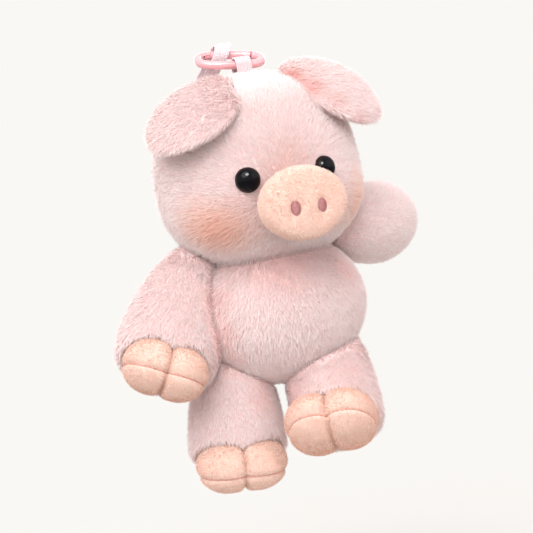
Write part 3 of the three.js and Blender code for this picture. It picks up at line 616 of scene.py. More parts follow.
eyeLook = {"radius": 5.3, "dome": 4.2, "back": 2.2, "round": 0.92, "spacing": 35.6, "height": 135.8,
           "sink": 0.7, "around": 64, "rings": 28, "slopeStep": 1.8, "scales": (1.0, 0.94),
           "shifts": ((0, 0, 0), (-0.5, 0, -0.4))}
eyes = []
for side in (-1, 1):
    x, z, step = side * eyeLook["spacing"] / 2, eyeLook["height"], eyeLook["slopeStep"]
    seat = np.array([x, reach(headForm, x, z), z])
    wide = np.array([2 * step, reach(headForm, x + step, z) - reach(headForm, x - step, z), 0])
    tall = np.array([0, reach(headForm, x, z + step) - reach(headForm, x, z - step), 2 * step])
    eyes.append((headTurn @ seat + headPlace, headTurn @ unit(np.cross(wide, tall))))


def aroundEyes(points):
    # distance to the nearer eye's seat
    away = [np.linalg.norm(points - seat, axis=-1) for seat, _ in eyes]
    return np.minimum(*away)


def headGrid(grow):
    # the form, swollen under each eye by eyeSwell exp(-(distance / size)^2)
    grid = ringGrid(headForm, headLook["around"], headLook["rings"], grow)
    flat = grid.reshape(-1, 3)
    for seat, out in eyes:
        near = np.exp(-(np.linalg.norm(flat - seat, axis=-1) / headLook["eyeSwellSize"]) ** 2)
        flat += headLook["eyeSwell"] * near[:, None] * out
    return flat.reshape(grid.shape)


def headComb(points):
    # hair runs away from the muzzle in front, and down at the back
    away = unit(points - muzzleMiddle)
    ahead = (-(points - headPlace) @ headTurn)[:, 1]
    front = np.clip(ahead / headLook["combDepth"] + headLook["combShare"], 0, 1)[:, None]
    return front * away + (1 - front) * np.array([0, 0, -1.0])


headBase = headGrid(-headLook["skinDepth"])
headSkin = closedSkin("headSkin", headBase)
dress(headSkin, furBacking, "head", "pile", "head_cover")


def headKeep(points):
    # no hair under the eyes, under the muzzle and below the neck
    clear = aroundEyes(points) >= eyeLook["radius"] - headLook["eyeBare"]
    clear &= muzzleForm.level(points, -headLook["muzzleBare"]) > 1
    return clear & (points[:, 2] > headLook["neckBare"])


def headLength(points):
    # shortest + longer * the lesser of the shares away from the eyes and from the muzzle
    look = headHair
    fromEye = np.clip((aroundEyes(points) - look["eyeFrom"]) / look["eyeFade"], 0, 1)
    fromMuzzle = np.clip((muzzleForm.level(points, 0.0) - 1.0) / look["muzzleFade"], 0, 1)
    share = np.minimum(fromEye, look["atMuzzle"] + look["pastMuzzle"] * fromMuzzle)
    return look["shortest"] + look["longer"] * share


furCoat("headPile", headBase, longPile, headComb, headKeep, "head", furPink, "pile", 101,
        headLook["pieces"], headLength, lambda q: liesClear(q, bodyForm))
print("head made")

# Muzzle: a short drum with short nap, and two stitched nostrils
shortNap = {"perArea": 6.8, "length": 1.0, "thick": 0.28, "lean": 0.6, "stray": 0.3, "clump": 0.06,
            "swirl": 0.1, "clumpSize": 0.7, "swirlSize": 9.0}
muzzleLook = {"around": 96, "rings": 56, "skinDepth": 0.8, "nostrilX": 5.9, "nostrilY": {-1: -2.0, 1: -2.6},
              "nostrilWide": 4.5, "nostrilTall": 6.1, "dent": 1.3, "dentShare": 0.62, "faceFrom": 10,
              "faceShare": 1.05, "napClear": 0.9, "napSunk": 0.5, "combFrom": (0, 3.0, 26.0)}
threadLook = {"rows": 15, "sides": 6, "steps": 7, "reach": 0.94, "thick": 0.62, "taper": 0.35, "wave": 0.12,
              "sink": 1.25, "bow": 0.75}


def nostrilOval(p, side, share):
    # squared distance from a nostril's middle: 1 on an oval whose half sizes are share times wide and tall
    dx = (p[..., 0] - side * muzzleLook["nostrilX"]) / (muzzleLook["nostrilWide"] * share)
    dy = (p[..., 1] - muzzleLook["nostrilY"][side]) / (muzzleLook["nostrilTall"] * share)
    return dx**2 + dy**2


def muzzleGrid(grow):
    # the form with a dent at each nostril: dent exp(-r^3), on its face only
    grid = ringGrid(muzzleForm, muzzleLook["around"], muzzleLook["rings"], grow)
    p = muzzleForm.toLocal(grid)
    for side in (-1, 1):
        inside = nostrilOval(p, side, muzzleLook["dentShare"])
        p[..., 2] -= muzzleLook["dent"] * np.exp(-inside ** 1.5) * (p[..., 2] > muzzleLook["faceFrom"])
    return muzzleForm.world(p)


muzzleBase = muzzleGrid(-muzzleLook["skinDepth"])
muzzleSkin = closedSkin("muzzleSkin", muzzleBase)
dress(muzzleSkin, napCloth, "head", "nap", "muzzle_cover")


def muzzleKeep(points):
    # no nap on the nostrils, nor inside the head
    p = muzzleForm.toLocal(points)
    clear = np.ones(len(p), bool)
    for side in (-1, 1):
        clear &= (nostrilOval(p, side, 0.5) > muzzleLook["napClear"]) | (p[:, 2] < muzzleLook["faceFrom"])
    return clear & (headForm.level(points, -muzzleLook["napSunk"]) > 1)


def muzzleComb(points):
    # away from a place in front of the muzzle
    return unit(points - muzzleForm.world(np.array(muzzleLook["combFrom"])))


furCoat("muzzleNap", muzzleBase, shortNap, muzzleComb, muzzleKeep, "head", napHair, "nap", 102)


def nostrilPatch(name, side):
    # each thread is a bowed tube across the oval: half length = wide/2 sqrt(1 - s^2), s from -1 to 1
    look = threadLook
    rows, sides, steps = look["rows"], look["sides"], look["steps"]
    wide, tall = muzzleLook["nostrilWide"], muzzleLook["nostrilTall"]
    faces = []
    s = np.linspace(-look["reach"], look["reach"], rows)
    u = np.linspace(-1, 1, steps)
    a = np.linspace(0, 2 * np.pi, sides, endpoint=False)
    thick = tall / rows * look["thick"]
    half = wide / 2 * np.sqrt(1 - s**2)
    x = side * muzzleLook["nostrilX"] + half[:, None] * u[None]
    y = muzzleLook["nostrilY"][side] + s[:, None] * tall / 2 + look["wave"] * np.sin(3 * u + side)[None]
    out = np.hypot(x / (muzzleForm.width / 2), y / (muzzleForm.depth / 2)) / muzzleLook["faceShare"]
    t = 1 - np.arcsin(np.clip(out, 0, 1)) / np.pi
    bow = look["bow"] * (1 - u[None] ** 2) * np.sqrt(1 - s[:, None] ** 2)
    z = muzzleForm.high * (1 - np.cos(np.pi * t)) / 2 - look["sink"] + bow
    centre = np.stack([x, y, z], -1)[:, :, None]
    r = thick * (1 - look["taper"] * u**2)[None, :, None, None]
    ring = centre + r * (np.cos(a)[None, None, :, None] * yAxis + np.sin(a)[None, None, :, None] * zAxis)
    i = np.arange(steps - 1)[:, None]
    j = np.arange(sides)[None]
    k = (j + 1) % sides
    here, there = i * sides, (i + 1) * sides
    quad = np.stack([here + j, there + j, there + k, here + k], -1).reshape(-1, 4)
    for row in range(rows):
        start, end = row * steps * sides, (row + 1) * steps * sides
        faces += (quad + start).tolist()
        faces += [list(range(start, start + sides)), list(range(end - sides, end))[::-1]]
    return fixNormals(meshObject(name, toFrame(muzzleForm.world(ring.reshape(-1, 3))), faces))


threadPink = plainMaterial("nostrilThread", rgb(226, 168, 166), rgb(150, 62, 70), 1500.0, 0.0003, 0.4)
for side, name in ((-1, "right"), (1, "left")):
    dress(nostrilPatch(f"nostrilStitch_{name}", side), threadPink, "head", "nostril", f"nostril_{name}")
print("muzzle made")

# Eyes: a polished dome with a brown rim that curves back behind the cloth
s = Shade("eyeGloss")
radial = s.attribute("radial")  # 0 at the top of the dome, 1 at its rim
tone = s.node("ShaderNodeValToRGB", {"stops": [(0.0, rgb(8, 8, 16)), (0.62, rgb(10, 9, 14)),
                                               (0.8, rgb(34, 20, 18)), (1.0, rgb(44, 28, 24))]},
              {"Fac": radial + 0.05 * s.noise(s.place(), 900.0)})["Color"]
smear = 0.04 + 0.03 * s.noise(s.place(), 1500.0)
polish = s.node("ShaderNodeBsdfPrincipled", {}, {"Base Color": tone, "IOR": 1.25, "Roughness": smear})["BSDF"]
matte = s.node("ShaderNodeBsdfPrincipled", {}, {"Base Color": tone, "Roughness": 0.8,
                                                "Specular IOR Level": 0.1})["BSDF"]
mixed = s.node("ShaderNodeMixShader", {}, {0: (radial - 0.72) * 8.0, 1: polish, 2: matte})["Shader"]
s.node("ShaderNodeOutputMaterial", {}, {"Surface": mixed})
eyeGloss = s.material


def eyeDome(name, seat, out, scale):
    # profile: r = R sin(b)^round, height = dome cos(b) in front and back cos(b) behind
    b = np.linspace(0, np.pi, eyeLook["rings"] + 1)
    r = scale * eyeLook["radius"] * np.sin(b) ** eyeLook["round"]
    h = np.where(b < np.pi / 2, eyeLook["dome"] * np.cos(b), eyeLook["back"] * np.cos(b)) - eyeLook["sink"]
    side = unit(np.cross(zAxis, out))
    up = np.cross(out, side)
    a = np.linspace(0, 2 * np.pi, eyeLook["around"], endpoint=False)
    ring = np.cos(a)[:, None] * side + np.sin(a)[:, None] * up
    grid = seat + h[:, None, None] * out + r[:, None, None] * ring
    obj = fixNormals(closedSkin(name, grid))
    share = np.minimum(b / (np.pi / 2), 1)
    values = np.concatenate([[0], np.repeat(share[1:-1], eyeLook["around"]), [1]])
    obj.data.attributes.new("radial", "FLOAT", "POINT").data.foreach_set("value", values.astype(np.float32))
    return obj


for (seat, out), name, scale, shift in zip(eyes, ("right", "left"), eyeLook["scales"], eyeLook["shifts"]):
    dome = eyeDome(f"eyeButton_{name}", seat + np.array(shift), out, scale)
    dress(dome, eyeGloss, "head", "eye", f"eye_{name}")
print("eyes made")

# Ears: plump leaves, an outer half and a lining half, folded forwards and down
earLook = {"around": 72, "rings": 56, "skinDepth": 1.7, "length": 51, "thickness": 10.5, "chord": 9,
           "face": (0.3, -0.8, 0.5), "depthShares": [0.75, 0.8, 0.9, 1.0, 1.05, 1.1, 1.1],
           "sunk": 2.4, "bare": 2.2, "tipwards": 0.85, "down": 0.35}
earSets = {
    "right": {"side": -1, "root": (-8.5, -10, 180), "tip": (-62, -24, 145.8), "twist": -20, "bow": 3,
              "sway": -3.5, "width": 38, "shares": [1.0, 1.04, 1.06, 1.04, 1.0, 1.0, 1.0]},
    "left": {"side": 1, "root": (12.5, -10, 181), "tip": (52, -24, 152.5), "twist": 0, "bow": 5,
             "sway": 1.5, "width": 32.5, "shares": [1.05, 1.06, 1.06, 1.02, 1.02, 1.08, 1.15]},
}


def earForm(side, root, tip, twist, bow, sway, width, shares):
    # a leaf from root to tip whose face looks ahead and up, turned about its length by twist
    def bend(p):
        # the leaf bows towards its face and sways to one side: (x, y) += (sway, bow) sin(pi share)
        share = np.clip(-p[..., 2] / earLook["length"], 0, 1)
        return p + np.sin(np.pi * share)[..., None] * np.array([sway, bow, 0])

    root, tip = np.array(root, float), np.array(tip, float)
    down = unit(root - tip)
    face = np.array([side, 1, 1]) * earLook["face"]
    face = turnAbout(down, twist) @ unit(face - (face @ down) * down)
    turn = headTurn @ np.stack([np.cross(face, down), face, down], -1)
    return Form(width, earLook["thickness"], -earLook["length"], 0, shares, turn, headTurn @ root + headPlace,
                earLook["depthShares"], bend)


def earHalf(form, grow, half):
    # half 1 keeps angles 0..180 and half -1 keeps 180..360; the chord between them closes the ring
    t = np.linspace(0, 1, earLook["rings"] + 1)[:, None]
    first = 0 if half > 0 else np.pi
    a = np.linspace(first, first + np.pi, earLook["around"] // 2 + 1)[None]
    arc = form.local(t, a, grow)
    w = np.linspace(0, 1, earLook["chord"])[1:-1][None, :, None]
    chord = arc[:, -1:] * (1 - w) + arc[:, :1] * w
    return form.world(np.concatenate([arc, chord], 1))


def slidOut(points, form, along, grow, step=0.25, most=160):
    # points inside the form walk along one direction until they leave it: p += step along
    p = points.copy()
    for _ in range(most):
        deep = form.level(p, grow) < 1
        if not deep.any():
            break
        p[deep] += step * along
    return p


earForms = {name: earForm(**where) for name, where in earSets.items()}
earPile = dict(longPile, perArea=6.0, length=3.3, lean=1.6, thick=0.32)
for name, form in earForms.items():
    toTip = form.turn @ np.array([0, 0, -1.0])
    whole = ringGrid(form, earLook["around"], earLook["rings"], -earLook["skinDepth"])
    whole = slidOut(whole.reshape(-1, 3), headForm, toTip, -earLook["sunk"]).reshape(whole.shape)
    body = f"ear_{name}"
    for half, label, node in ((1, "earOuterSkin", "ear_outer"), (-1, "earLiningSkin", "ear_lining")):
        grid = earHalf(form, -earLook["skinDepth"], half)
        grid = slidOut(grid.reshape(-1, 3), headForm, toTip, -earLook["sunk"]).reshape(grid.shape)
        skin = fixNormals(closedSkin(f"{label}_{name}", grid))
        dress(skin, earBacking, body, "pile", f"{node}_{name}")

    def earComb(points, toTip=toTip):
        # hair runs to the tip and hangs down
        return earLook["tipwards"] * toTip - earLook["down"] * zAxis + 0 * points

    furCoat(f"earPile_{name}", whole, earPile, earComb, lambda q: headForm.level(q, -earLook["bare"]) > 1,
            body, furEar, "pile", 110 + len(name))
print("ears made")

# Body: widest low down, pressed into a saddle by the head
bodyLook = {"around": 104, "rings": 64, "skinDepth": 2.0, "pieces": 2, "sunk": 0.6, "bare": 0.5,
            "combOut": 0.35, "combMiddle": (0, 0, 76.0)}
bodyBase = ringGrid(bodyForm, bodyLook["around"], bodyLook["rings"], -bodyLook["skinDepth"])
bodyBase = headForm.pressed(bodyBase.reshape(-1, 3), -bodyLook["sunk"]).reshape(bodyBase.shape)
bodySkin = closedSkin("bodySkin", bodyBase)
dress(bodySkin, furBacking, "torso", "pile", "body_cover")


def downComb(points):
    # down, and a little away from the middle of the body
    return np.array([0, 0, -1.0]) + bodyLook["combOut"] * unit(points - np.array(bodyLook["combMiddle"]))


furCoat("bodyPile", bodyBase, longPile, downComb, lambda q: headForm.level(q, -bodyLook["bare"]) > 1,
        "torso", furPink, "pile", 103, bodyLook["pieces"], None, lambda q: liesClear(q, headForm))
print("body made")

# Limbs: swollen forms about their joints, each with a hoof of two toes at its end
limbLook = {"around": 80, "rings": 60, "skinDepth": 1.6, "pressDepth": 0.6, "partingX": -4.2,
            "partingGap": 1.0, "partingFade": 4, "pressedLength": 0.7, "nearGrow": 0.3, "nearFade": 0.1,
            "hoofClear": 0.5, "hoofBare": 0.1, "hoofFade": 0.12, "hoofLength": 0.9}
limbPile = dict(longPile, length=3.3)
trotterLook = {"around": 96, "rings": 30, "capRings": 6, "toeShare": 0.66, "soften": 3.0, "skinDepth": 0.8,
               "edgeDepth": 0.7, "cleft": 2.3, "cleftWide": 1.3, "gap": 0.2, "groove": 0.75,
               "grooveWide": 1.1, "puckers": 44, "pucker": 0.35, "leave": (0, 0.6, 0.8),
               "comb": (0, -0.3, -1.0), "napClear": 0.75}
stitchLook = {"cord": 0.32, "thin": 0.65, "swell": 0.5, "perSide": 4, "length": 6}
armHoof = {"width": 39, "height": 25, "depth": 31, "drop": 48, "forward": 9, "seamShare": 0.4}
legHoof = {"width": 42, "height": 25, "depth": 36, "drop": 41.5, "forward": 8.5, "seamShare": 0.36}
armShares = [1.5, 1.45, 1.17, 0.93, 0.78, 0.66, 0.56]
legShares = [1.9, 1.62, 1.13, 0.9, 0.88, 0.95, 1.0]


def limbForm(sizes, shares, pivot, pitch, lean, turn, twist):
    # turn about Z, lean about Y, pitch about X, then twist about the limb's own line
    spin = turnAbout(zAxis, turn) @ turnAbout(yAxis, lean) @ turnAbout(xAxis, pitch) @ turnAbout(zAxis, twist)
    width, depth, below, above = sizes
    return Form(width, depth, -below, above, shares, spin, pivot)


limbs = {
    "leg_right": (limbForm((45.5, 41, 47, 13), legShares, (-25.3, 0, 56), 0, 5, 0, 0), legHoof),
    "leg_left": (limbForm((45.5, 41, 47, 13), legShares, (17.5, 0, 56), -37.5, 10.5, 0, -21), legHoof),
    "arm_right": (limbForm((46, 36, 58, 12), armShares, (-35, -4, 103), -13, 27, 0, 0), armHoof),
    "arm_left": (limbForm((38, 41, 58, 5), armShares, (35, 3, 103), 0, -94, 57, 180), armHoof),
}


def toes(hoof, grow):
    # the two toes: centre and half sizes of each ellipsoid, in the limb's directions
    half = hoof["width"] * trotterLook["toeShare"] / 2
    size = np.array([half, hoof["depth"] / 2, hoof["height"] / 2]) + grow
    aside = hoof["width"] / 2 - half
    return [(np.array([s * aside, -hoof["forward"], -hoof["drop"]]), size) for s in (-1, 1)]


def hoofLevel(p, hoof, grow=0.0):
    # the lesser of |(p - c) / size| for the two toes: 1 on the surface, less inside
    return np.minimum(*[np.linalg.norm((p - c) / size, axis=-1) for c, size in toes(hoof, grow)])


def leaveHoof(p, hoof, grow):
    # points inside a toe go up and back to its surface: root of |(p + s d - c) / size| = 1
    d = np.array(trotterLook["leave"])
    for _ in range(2):
        for c, size in toes(hoof, grow):
            q, e = (p - c) / size, d / size
            a, b, k = (e * e).sum(), (q * e).sum(-1), (q * q).sum(-1) - 1
            s = (-b + np.sqrt(np.maximum(b * b - a * k, 0))) / a
            p = p + np.where(k < 0, s, 0)[..., None] * d
    return p


def partThighs(name, points, grow):
    # the two legs press flat on the plane between the thighs
    if name == "leg_right":
        points[:, 0] = np.minimum(points[:, 0], limbLook["partingX"] - grow)
    if name == "leg_left":
        points[:, 0] = np.maximum(points[:, 0], limbLook["partingX"] + grow)
    return points


def limbNeighbours(name):
    # the forms that a limb presses on
    near = [bodyForm]
    if name.startswith("arm"):
        near.append(headForm)
    if name == "arm_right":
        near.append(limbs["leg_right"][0])
    return near


def hoofRadius(direction, start, hoof, grow):
    # distance from the start point to the toes' surface; the two are joined by a soft maximum
    far = []
    for c, size in toes(hoof, grow):
        q, e = (start - c) / size, direction / size
        a, b, k = (e * e).sum(-1), (q * e).sum(-1), (q * q).sum() - 1
        far.append((-b + np.sqrt(b * b - a * k)) / a)
    k = trotterLook["soften"]
    top = np.maximum(*far)
    soft = top + k * np.log(np.exp((far[0] - top) / k) + np.exp((far[1] - top) / k))
    x = (direction * soft[..., None])[..., 0]
    return soft - trotterLook["cleft"] * np.exp(-(x / trotterLook["cleftWide"]) ** 2)


def hoofHalf(hoof, half):
    # rays from the middle of the seam, from the pole down to the seam, then a flat cap back to the middle;
    # r -= groove pucker exp(-(height above the seam / grooveWide)^2)
    look = trotterLook
    seam = hoof["height"] * (hoof["seamShare"] - 0.5)
    start = np.array([0, -hoof["forward"], seam - hoof["drop"]])
    rise = np.linspace(np.pi / 2, 0, look["rings"])[:, None]
    a = np.linspace(0, 2 * np.pi, look["around"], endpoint=False)[None]
    level = np.cos(rise)
    way = np.stack(np.broadcast_arrays(level * np.cos(a), level * np.sin(a), half * np.sin(rise)), -1)
    r = hoofRadius(way, start, hoof, -look["skinDepth"] - look["edgeDepth"])
    above = r * np.sin(rise)
    pucker = 1 + look["pucker"] * np.sin(look["puckers"] * a)
    r = r - look["groove"] * pucker * np.exp(-(above / look["grooveWide"]) ** 2)
    outer = start + way * r[..., None]
    w = np.linspace(1, 0, look["capRings"] + 1)[1:, None, None]
    cap = start + (outer[-1] - start) * w
    grid = np.concatenate([outer, cap])
    grid[..., 2] += half * look["gap"]
    return grid, outer[-1]


def seamStitch(name, line):
    # one raised stitch after another: radius = cord (thin + swell |sin(pi step / length)|)
    look = stitchLook
    n = len(line) * look["perSide"]
    k = np.arange(n) / look["perSide"]
    i = k.astype(int) % len(line)
    path = line[i] + (line[(i + 1) % len(line)] - line[i]) * (k % 1)[:, None]
    wave = np.abs(np.sin(np.arange(n) * np.pi / look["length"]))
    return tubeAlong(name, path, look["cord"] * (look["thin"] + look["swell"] * wave), 8, closed=True)


stitchPeach = plainMaterial("stitchThread", rgb(240, 186, 168), rgb(214, 146, 128), 2400.0, 0.0001, 0.7)
for name, (form, hoof) in limbs.items():
    look = limbLook
    grid = ringGrid(form, look["around"], look["rings"], -look["skinDepth"])
    grid = form.world(leaveHoof(form.toLocal(grid), hoof, look["hoofClear"]))
    flat = grid.reshape(-1, 3)
    if name.startswith("leg"):
        flat = slidOut(flat, bodyForm, form.turn @ np.array([0, 0, -1.0]), -look["pressDepth"])
    for _ in range(2):
        for near in limbNeighbours(name):
            flat = near.pressed(flat, -look["pressDepth"])
        flat = partThighs(name, flat, look["partingGap"])
    grid = flat.reshape(grid.shape)
    skin = fixNormals(closedSkin(f"skin_{name}", grid))
    kind, sideName = name.split("_")
    dress(skin, furBacking, name, "pile", f"{kind}_cover_{sideName}")

    def limbComb(points, form=form):
        # along the limb, to its hoof
        return np.array([0, 0, -1.0]) @ form.turn.T + 0 * points

    def limbLength(points, name=name, form=form, hoof=hoof):
        # shorter where the limb lies on a neighbour, and round the hoof
        least = limbLook["pressedLength"]
        levels = [near.level(points, limbLook["nearGrow"]) - 1 for near in limbNeighbours(name)]
        clear = np.minimum.reduce(levels)
        share = np.clip(clear / limbLook["nearFade"], least, 1)
        if name.startswith("leg"):
            apart = np.abs(points[:, 0] - limbLook["partingX"])
            share = np.minimum(share, np.clip(apart / limbLook["partingFade"], least, 1))
        fromHoof = hoofLevel(form.toLocal(points), hoof) - 1
        return share * np.clip(fromHoof / limbLook["hoofFade"], limbLook["hoofLength"], 1)

    furCoat(f"pile_{name}", grid, limbPile, limbComb,
            lambda q, form=form, hoof=hoof: hoofLevel(form.toLocal(q), hoof, limbLook["hoofBare"]) > 1,
            name, furPink, "pile", 120 + len(name), 1, limbLength,
            lambda q, name=name: liesClear(q, *limbNeighbours(name)))

    for half, label in ((1, "upper"), (-1, "sole")):
        local, rim = hoofHalf(hoof, half)
        shell = form.world(local)
        cloth = fixNormals(closedSkin(f"trotterSkin_{label}_{name}", shell))
        dress(cloth, napCloth, name, "nap", f"trotter_{label}_{name}")

        def hoofComb(points, form=form):
            # down and forwards, over the toes
            return np.array(trotterLook["comb"]) @ form.turn.T + 0 * points

        def offSeam(points, form=form, z=rim[0, 2]):
            # no nap beside the seam
            return np.abs(form.toLocal(points)[:, 2] - z) > trotterLook["napClear"]

        furCoat(f"nap_{label}_{name}", shell, shortNap, hoofComb, offSeam, name, napHair, "nap",
                130 + half + len(name))
    stitch = seamStitch(f"seamStitch_{name}", form.world(rim))
    dress(stitch, stitchPeach, name, "nap")
    print(name, "made")

# Tail: a short curl of nap cloth on the back
tailLook = {"thickness": 5.0, "curl": 5.0, "stem": 7.0, "stemFrom": 2.4, "stemSteps": 12, "height": 60.0,
            "rise": 4.0, "turns": 0.75, "steps": 64, "sides": 28, "napShare": 0.6, "napFrom": 3.2}
share = (tailLook["height"] - bodyForm.low) / (bodyForm.high - bodyForm.low)
t = np.array(np.arccos(1 - 2 * share) / np.pi)
tailSeat = bodyForm.depth / 2 * np.sin(np.pi * t) * smoothShares(bodyForm.shares, t)
tailSeat = tailSeat - tailLook["thickness"] / 2
u = np.linspace(0, 1, tailLook["steps"])
a = 2 * np.pi * tailLook["turns"] * u
curl = np.stack([tailLook["curl"] * (1 - np.cos(a)), tailLook["stem"] + tailLook["curl"] * np.sin(a),
                 tailLook["rise"] * u], -1)
stem = np.linspace([0, tailLook["stemFrom"], 0], [0, tailLook["stem"], 0], tailLook["stemSteps"])[:-1]
tailPath = np.concatenate([stem, curl]) + np.array([0, tailSeat, tailLook["height"]])


def runAlong(path):
    # length along the path up to each of its points
    return np.concatenate([[0], np.cumsum(np.linalg.norm(np.diff(path, axis=0), axis=-1))])


def roundedEnds(path, ends):
    # 0 at both ends of a path, rising to 1 as a quarter circle over a length: sqrt(1 - (1 - left / ends)^2)
    run = runAlong(path)
    left = np.minimum(run, run[-1] - run)
    return np.sqrt(np.clip(1 - (1 - np.minimum(left / ends, 1)) ** 2, 0, 1))


def tubeGrid(path, radius, sides):
    # point = path + radius (cos(a) side + sin(a) up), one row for each point of the path
    tangent = unit(np.gradient(path, axis=0))
    side = unit(np.cross(tangent, zAxis))
    up = np.cross(side, tangent)
    a = np.linspace(0, 2 * np.pi, sides, endpoint=False)[None, :, None]
    return path[:, None] + radius[:, None, None] * (np.cos(a) * side[:, None] + np.sin(a) * up[:, None])


r = tailLook["thickness"] / 2 - shortNap["length"] * tailLook["napShare"]
tailGrid = tubeGrid(tailPath, r * roundedEnds(tailPath, r), tailLook["sides"])
tailSkin = fixNormals(closedSkin("tailSkin", tailGrid))
dress(tailSkin, napCloth, "torso", "nap", "tail")
furCoat("tailNap", tailGrid, shortNap, lambda q: unit(q - q.mean(0)),
        lambda q: q[:, 1] > tailSeat + tailLook["napFrom"], "torso", napHair, "nap", 150)
print("tail made")

# Ring clip: a round wire bent to a squared oval, with a gate that laps its nose
ringLook = {"halfLength": 13.85, "halfWidth": 6.8, "squareness": 3.0, "wire": 1.9, "hingeX": -10.0,
            "noseX": 10.4, "lap": 1.8, "lapClear": 0.02, "gap": 0.3, "rootGap": 2.2, "ends": 0.35,
            "hingeEnds": 0.2, "sides": 32, "steps": 220, "gateSteps": 140, "hingeSteps": 24, "fine": 2400}
# runs of the fork and the tongue are lengths past the hinge along x
hingeLook = {"forkRun": (-2.5, 1.7), "forkInner": 0.95, "forkOuter": 3, "tongueRun": (-1.5, 2.7),
             "tongue": 0.65, "pin": 0.5, "pinLength": 3.3, "pinHead": 0.25, "pinHeadFrom": 0.93,
             "pinSquare": 3}
coilLook = {"radius": 0.33, "wire": 0.1, "start": 1.1, "length": 4.0, "turns": 11, "perTurn": 24, "sides": 8}
ringAxes = np.array([[0.9901, -0.0173, -0.1392], [0.0725, 0.9124, 0.4028], [0.12, -0.4089, 0.9047]])
ringMiddle = tapeLoop + np.array([-3.8686, 6.2135, 3.3217])


def ringAngle(x):
    # the angle at which the upper side of the ring stands at x: cos = (x / L)^(n/2)
    return np.arccos(np.sign(x) * abs(x / ringLook["halfLength"]) ** (ringLook["squareness"] / 2))


def ringPath(fromAngle, toAngle, steps):
    # x = L |cos|^(2/n), y = W |sin|^(2/n), then spaced evenly by length
    a = np.linspace(fromAngle, toAngle, ringLook["fine"])
    power = 2 / ringLook["squareness"]
    x = ringLook["halfLength"] * np.sign(np.cos(a)) * np.abs(np.cos(a)) ** power
    y = ringLook["halfWidth"] * np.sign(np.sin(a)) * np.abs(np.sin(a)) ** power
    run = np.concatenate([[0], np.cumsum(np.hypot(np.diff(x), np.diff(y)))])
    even = np.linspace(0, run[-1], steps)
    return np.stack([np.interp(even, run, x), np.interp(even, run, y), 0 * even], -1)


def ringWire(path, ends):
    # round wire whose edges are rounded by a short radius; a row drawn in to its middle closes each end
    radius = ringLook["wire"] - ends + ends * roundedEnds(path, ends)
    grid = tubeGrid(path, radius, ringLook["sides"])
    first, last = [row.mean(0) + 0 * row for row in (grid[0], grid[-1])]
    return np.concatenate([first[None], grid, last[None]])


def ringPlace(points):
    # from the ring's own directions to the drawing
    return ringMiddle + points @ ringAxes


def hingeRun(run):
    # the ring's line past the hinge, between two lengths along x
    a, b = [ringAngle(ringLook["hingeX"] + x) for x in run]
    return ringPath(a, b, ringLook["hingeSteps"])


def joinGrids(name, grids):
    # several closed skins in one mesh
    parts = [closedSkin(name + "_part", g) for g in grids]
    verts, faces, start = [], [], 0
    for part in parts:
        mesh = part.data
        co = np.empty(len(mesh.vertices) * 3)
        mesh.vertices.foreach_get("co", co)
        verts.append(co.reshape(-1, 3))
        faces += [[v + start for v in p.vertices] for p in mesh.polygons]
        start += len(mesh.vertices)
        bpy.data.objects.remove(part)
        bpy.data.meshes.remove(mesh)
    return fixNormals(meshObject(name, np.concatenate(verts), faces))


def hingePart(path, low, high):
    # the wire's section kept between two heights
    grid = ringWire(path, ringLook["hingeEnds"])
    grid[..., 2] = np.clip(grid[..., 2], low, high)
    return grid


hinge = ringPath(ringAngle(ringLook["hingeX"]), ringAngle(ringLook["hingeX"]) + 1e-4, 2)[0]
lapY = ringPath(ringAngle(ringLook["noseX"] - ringLook["lap"] / 2), 3, 2)[0][1]
gap = ringLook["gap"]
bodyPath = ringPath(ringAngle(ringLook["noseX"] - ringLook["lap"]),
                    ringAngle(ringLook["hingeX"] - ringLook["rootGap"]) - 2 * np.pi, ringLook["steps"])
bodyWire = ringWire(bodyPath, ringLook["ends"])
x, y = bodyWire[..., 0], bodyWire[..., 1]
lapped = (x < ringLook["noseX"]) & (y > 0) & (x > 0)
bodyWire[..., 1] = np.where(lapped, np.maximum(y, lapY + ringLook["lapClear"]), y)
forkPath = hingeRun(hingeLook["forkRun"])
inner, outer = hingeLook["forkInner"], hingeLook["forkOuter"]
fork = [hingePart(forkPath, inner, outer), hingePart(forkPath, -outer, -inner)]
ringBody = joinGrids("ringBodyWire", [ringPlace(g) for g in [bodyWire, *fork]])

gatePath = ringPath(ringAngle(ringLook["hingeX"] + ringLook["rootGap"]), ringAngle(ringLook["noseX"] - gap),
                    ringLook["gateSteps"])
gateWire = ringWire(gatePath, ringLook["ends"])
lapped = gateWire[..., 0] > ringLook["noseX"] - ringLook["lap"] - gap
gateWire[..., 1] = np.where(lapped, np.minimum(gateWire[..., 1], lapY - gap), gateWire[..., 1])
tongue = hingePart(hingeRun(hingeLook["tongueRun"]), -hingeLook["tongue"], hingeLook["tongue"])
ringGate = joinGrids("ringGateWire", [ringPlace(g) for g in [gateWire, tongue]])

b = np.linspace(0, np.pi, 25)[:, None, None]
a = np.linspace(0, 2 * np.pi, 20, endpoint=False)[None, :, None]
pinHead = 1 + hingeLook["pinHead"] * (np.abs(np.cos(b)) > hingeLook["pinHeadFrom"])
pinRadius = hingeLook["pin"] * np.clip(np.sin(b) * hingeLook["pinSquare"], 0, 1) * pinHead
pinGrid = (hinge + pinRadius * (np.cos(a) * xAxis + np.sin(a) * yAxis)
           - np.cos(b) * hingeLook["pinLength"] / 2 * zAxis)
gatePin = fixNormals(closedSkin("gatePinRivet", ringPlace(pinGrid)))
along = unit(gatePath[0] - hinge)
turns = np.linspace(0, 2 * np.pi * coilLook["turns"], coilLook["perTurn"] * coilLook["turns"])
coilRound = np.cos(turns)[:, None] * np.cross(along, zAxis) + np.sin(turns)[:, None] * zAxis
coilPath = (hinge + along * (coilLook["start"] + coilLook["length"] * turns[:, None] / turns[-1])
            + coilLook["radius"] * coilRound)
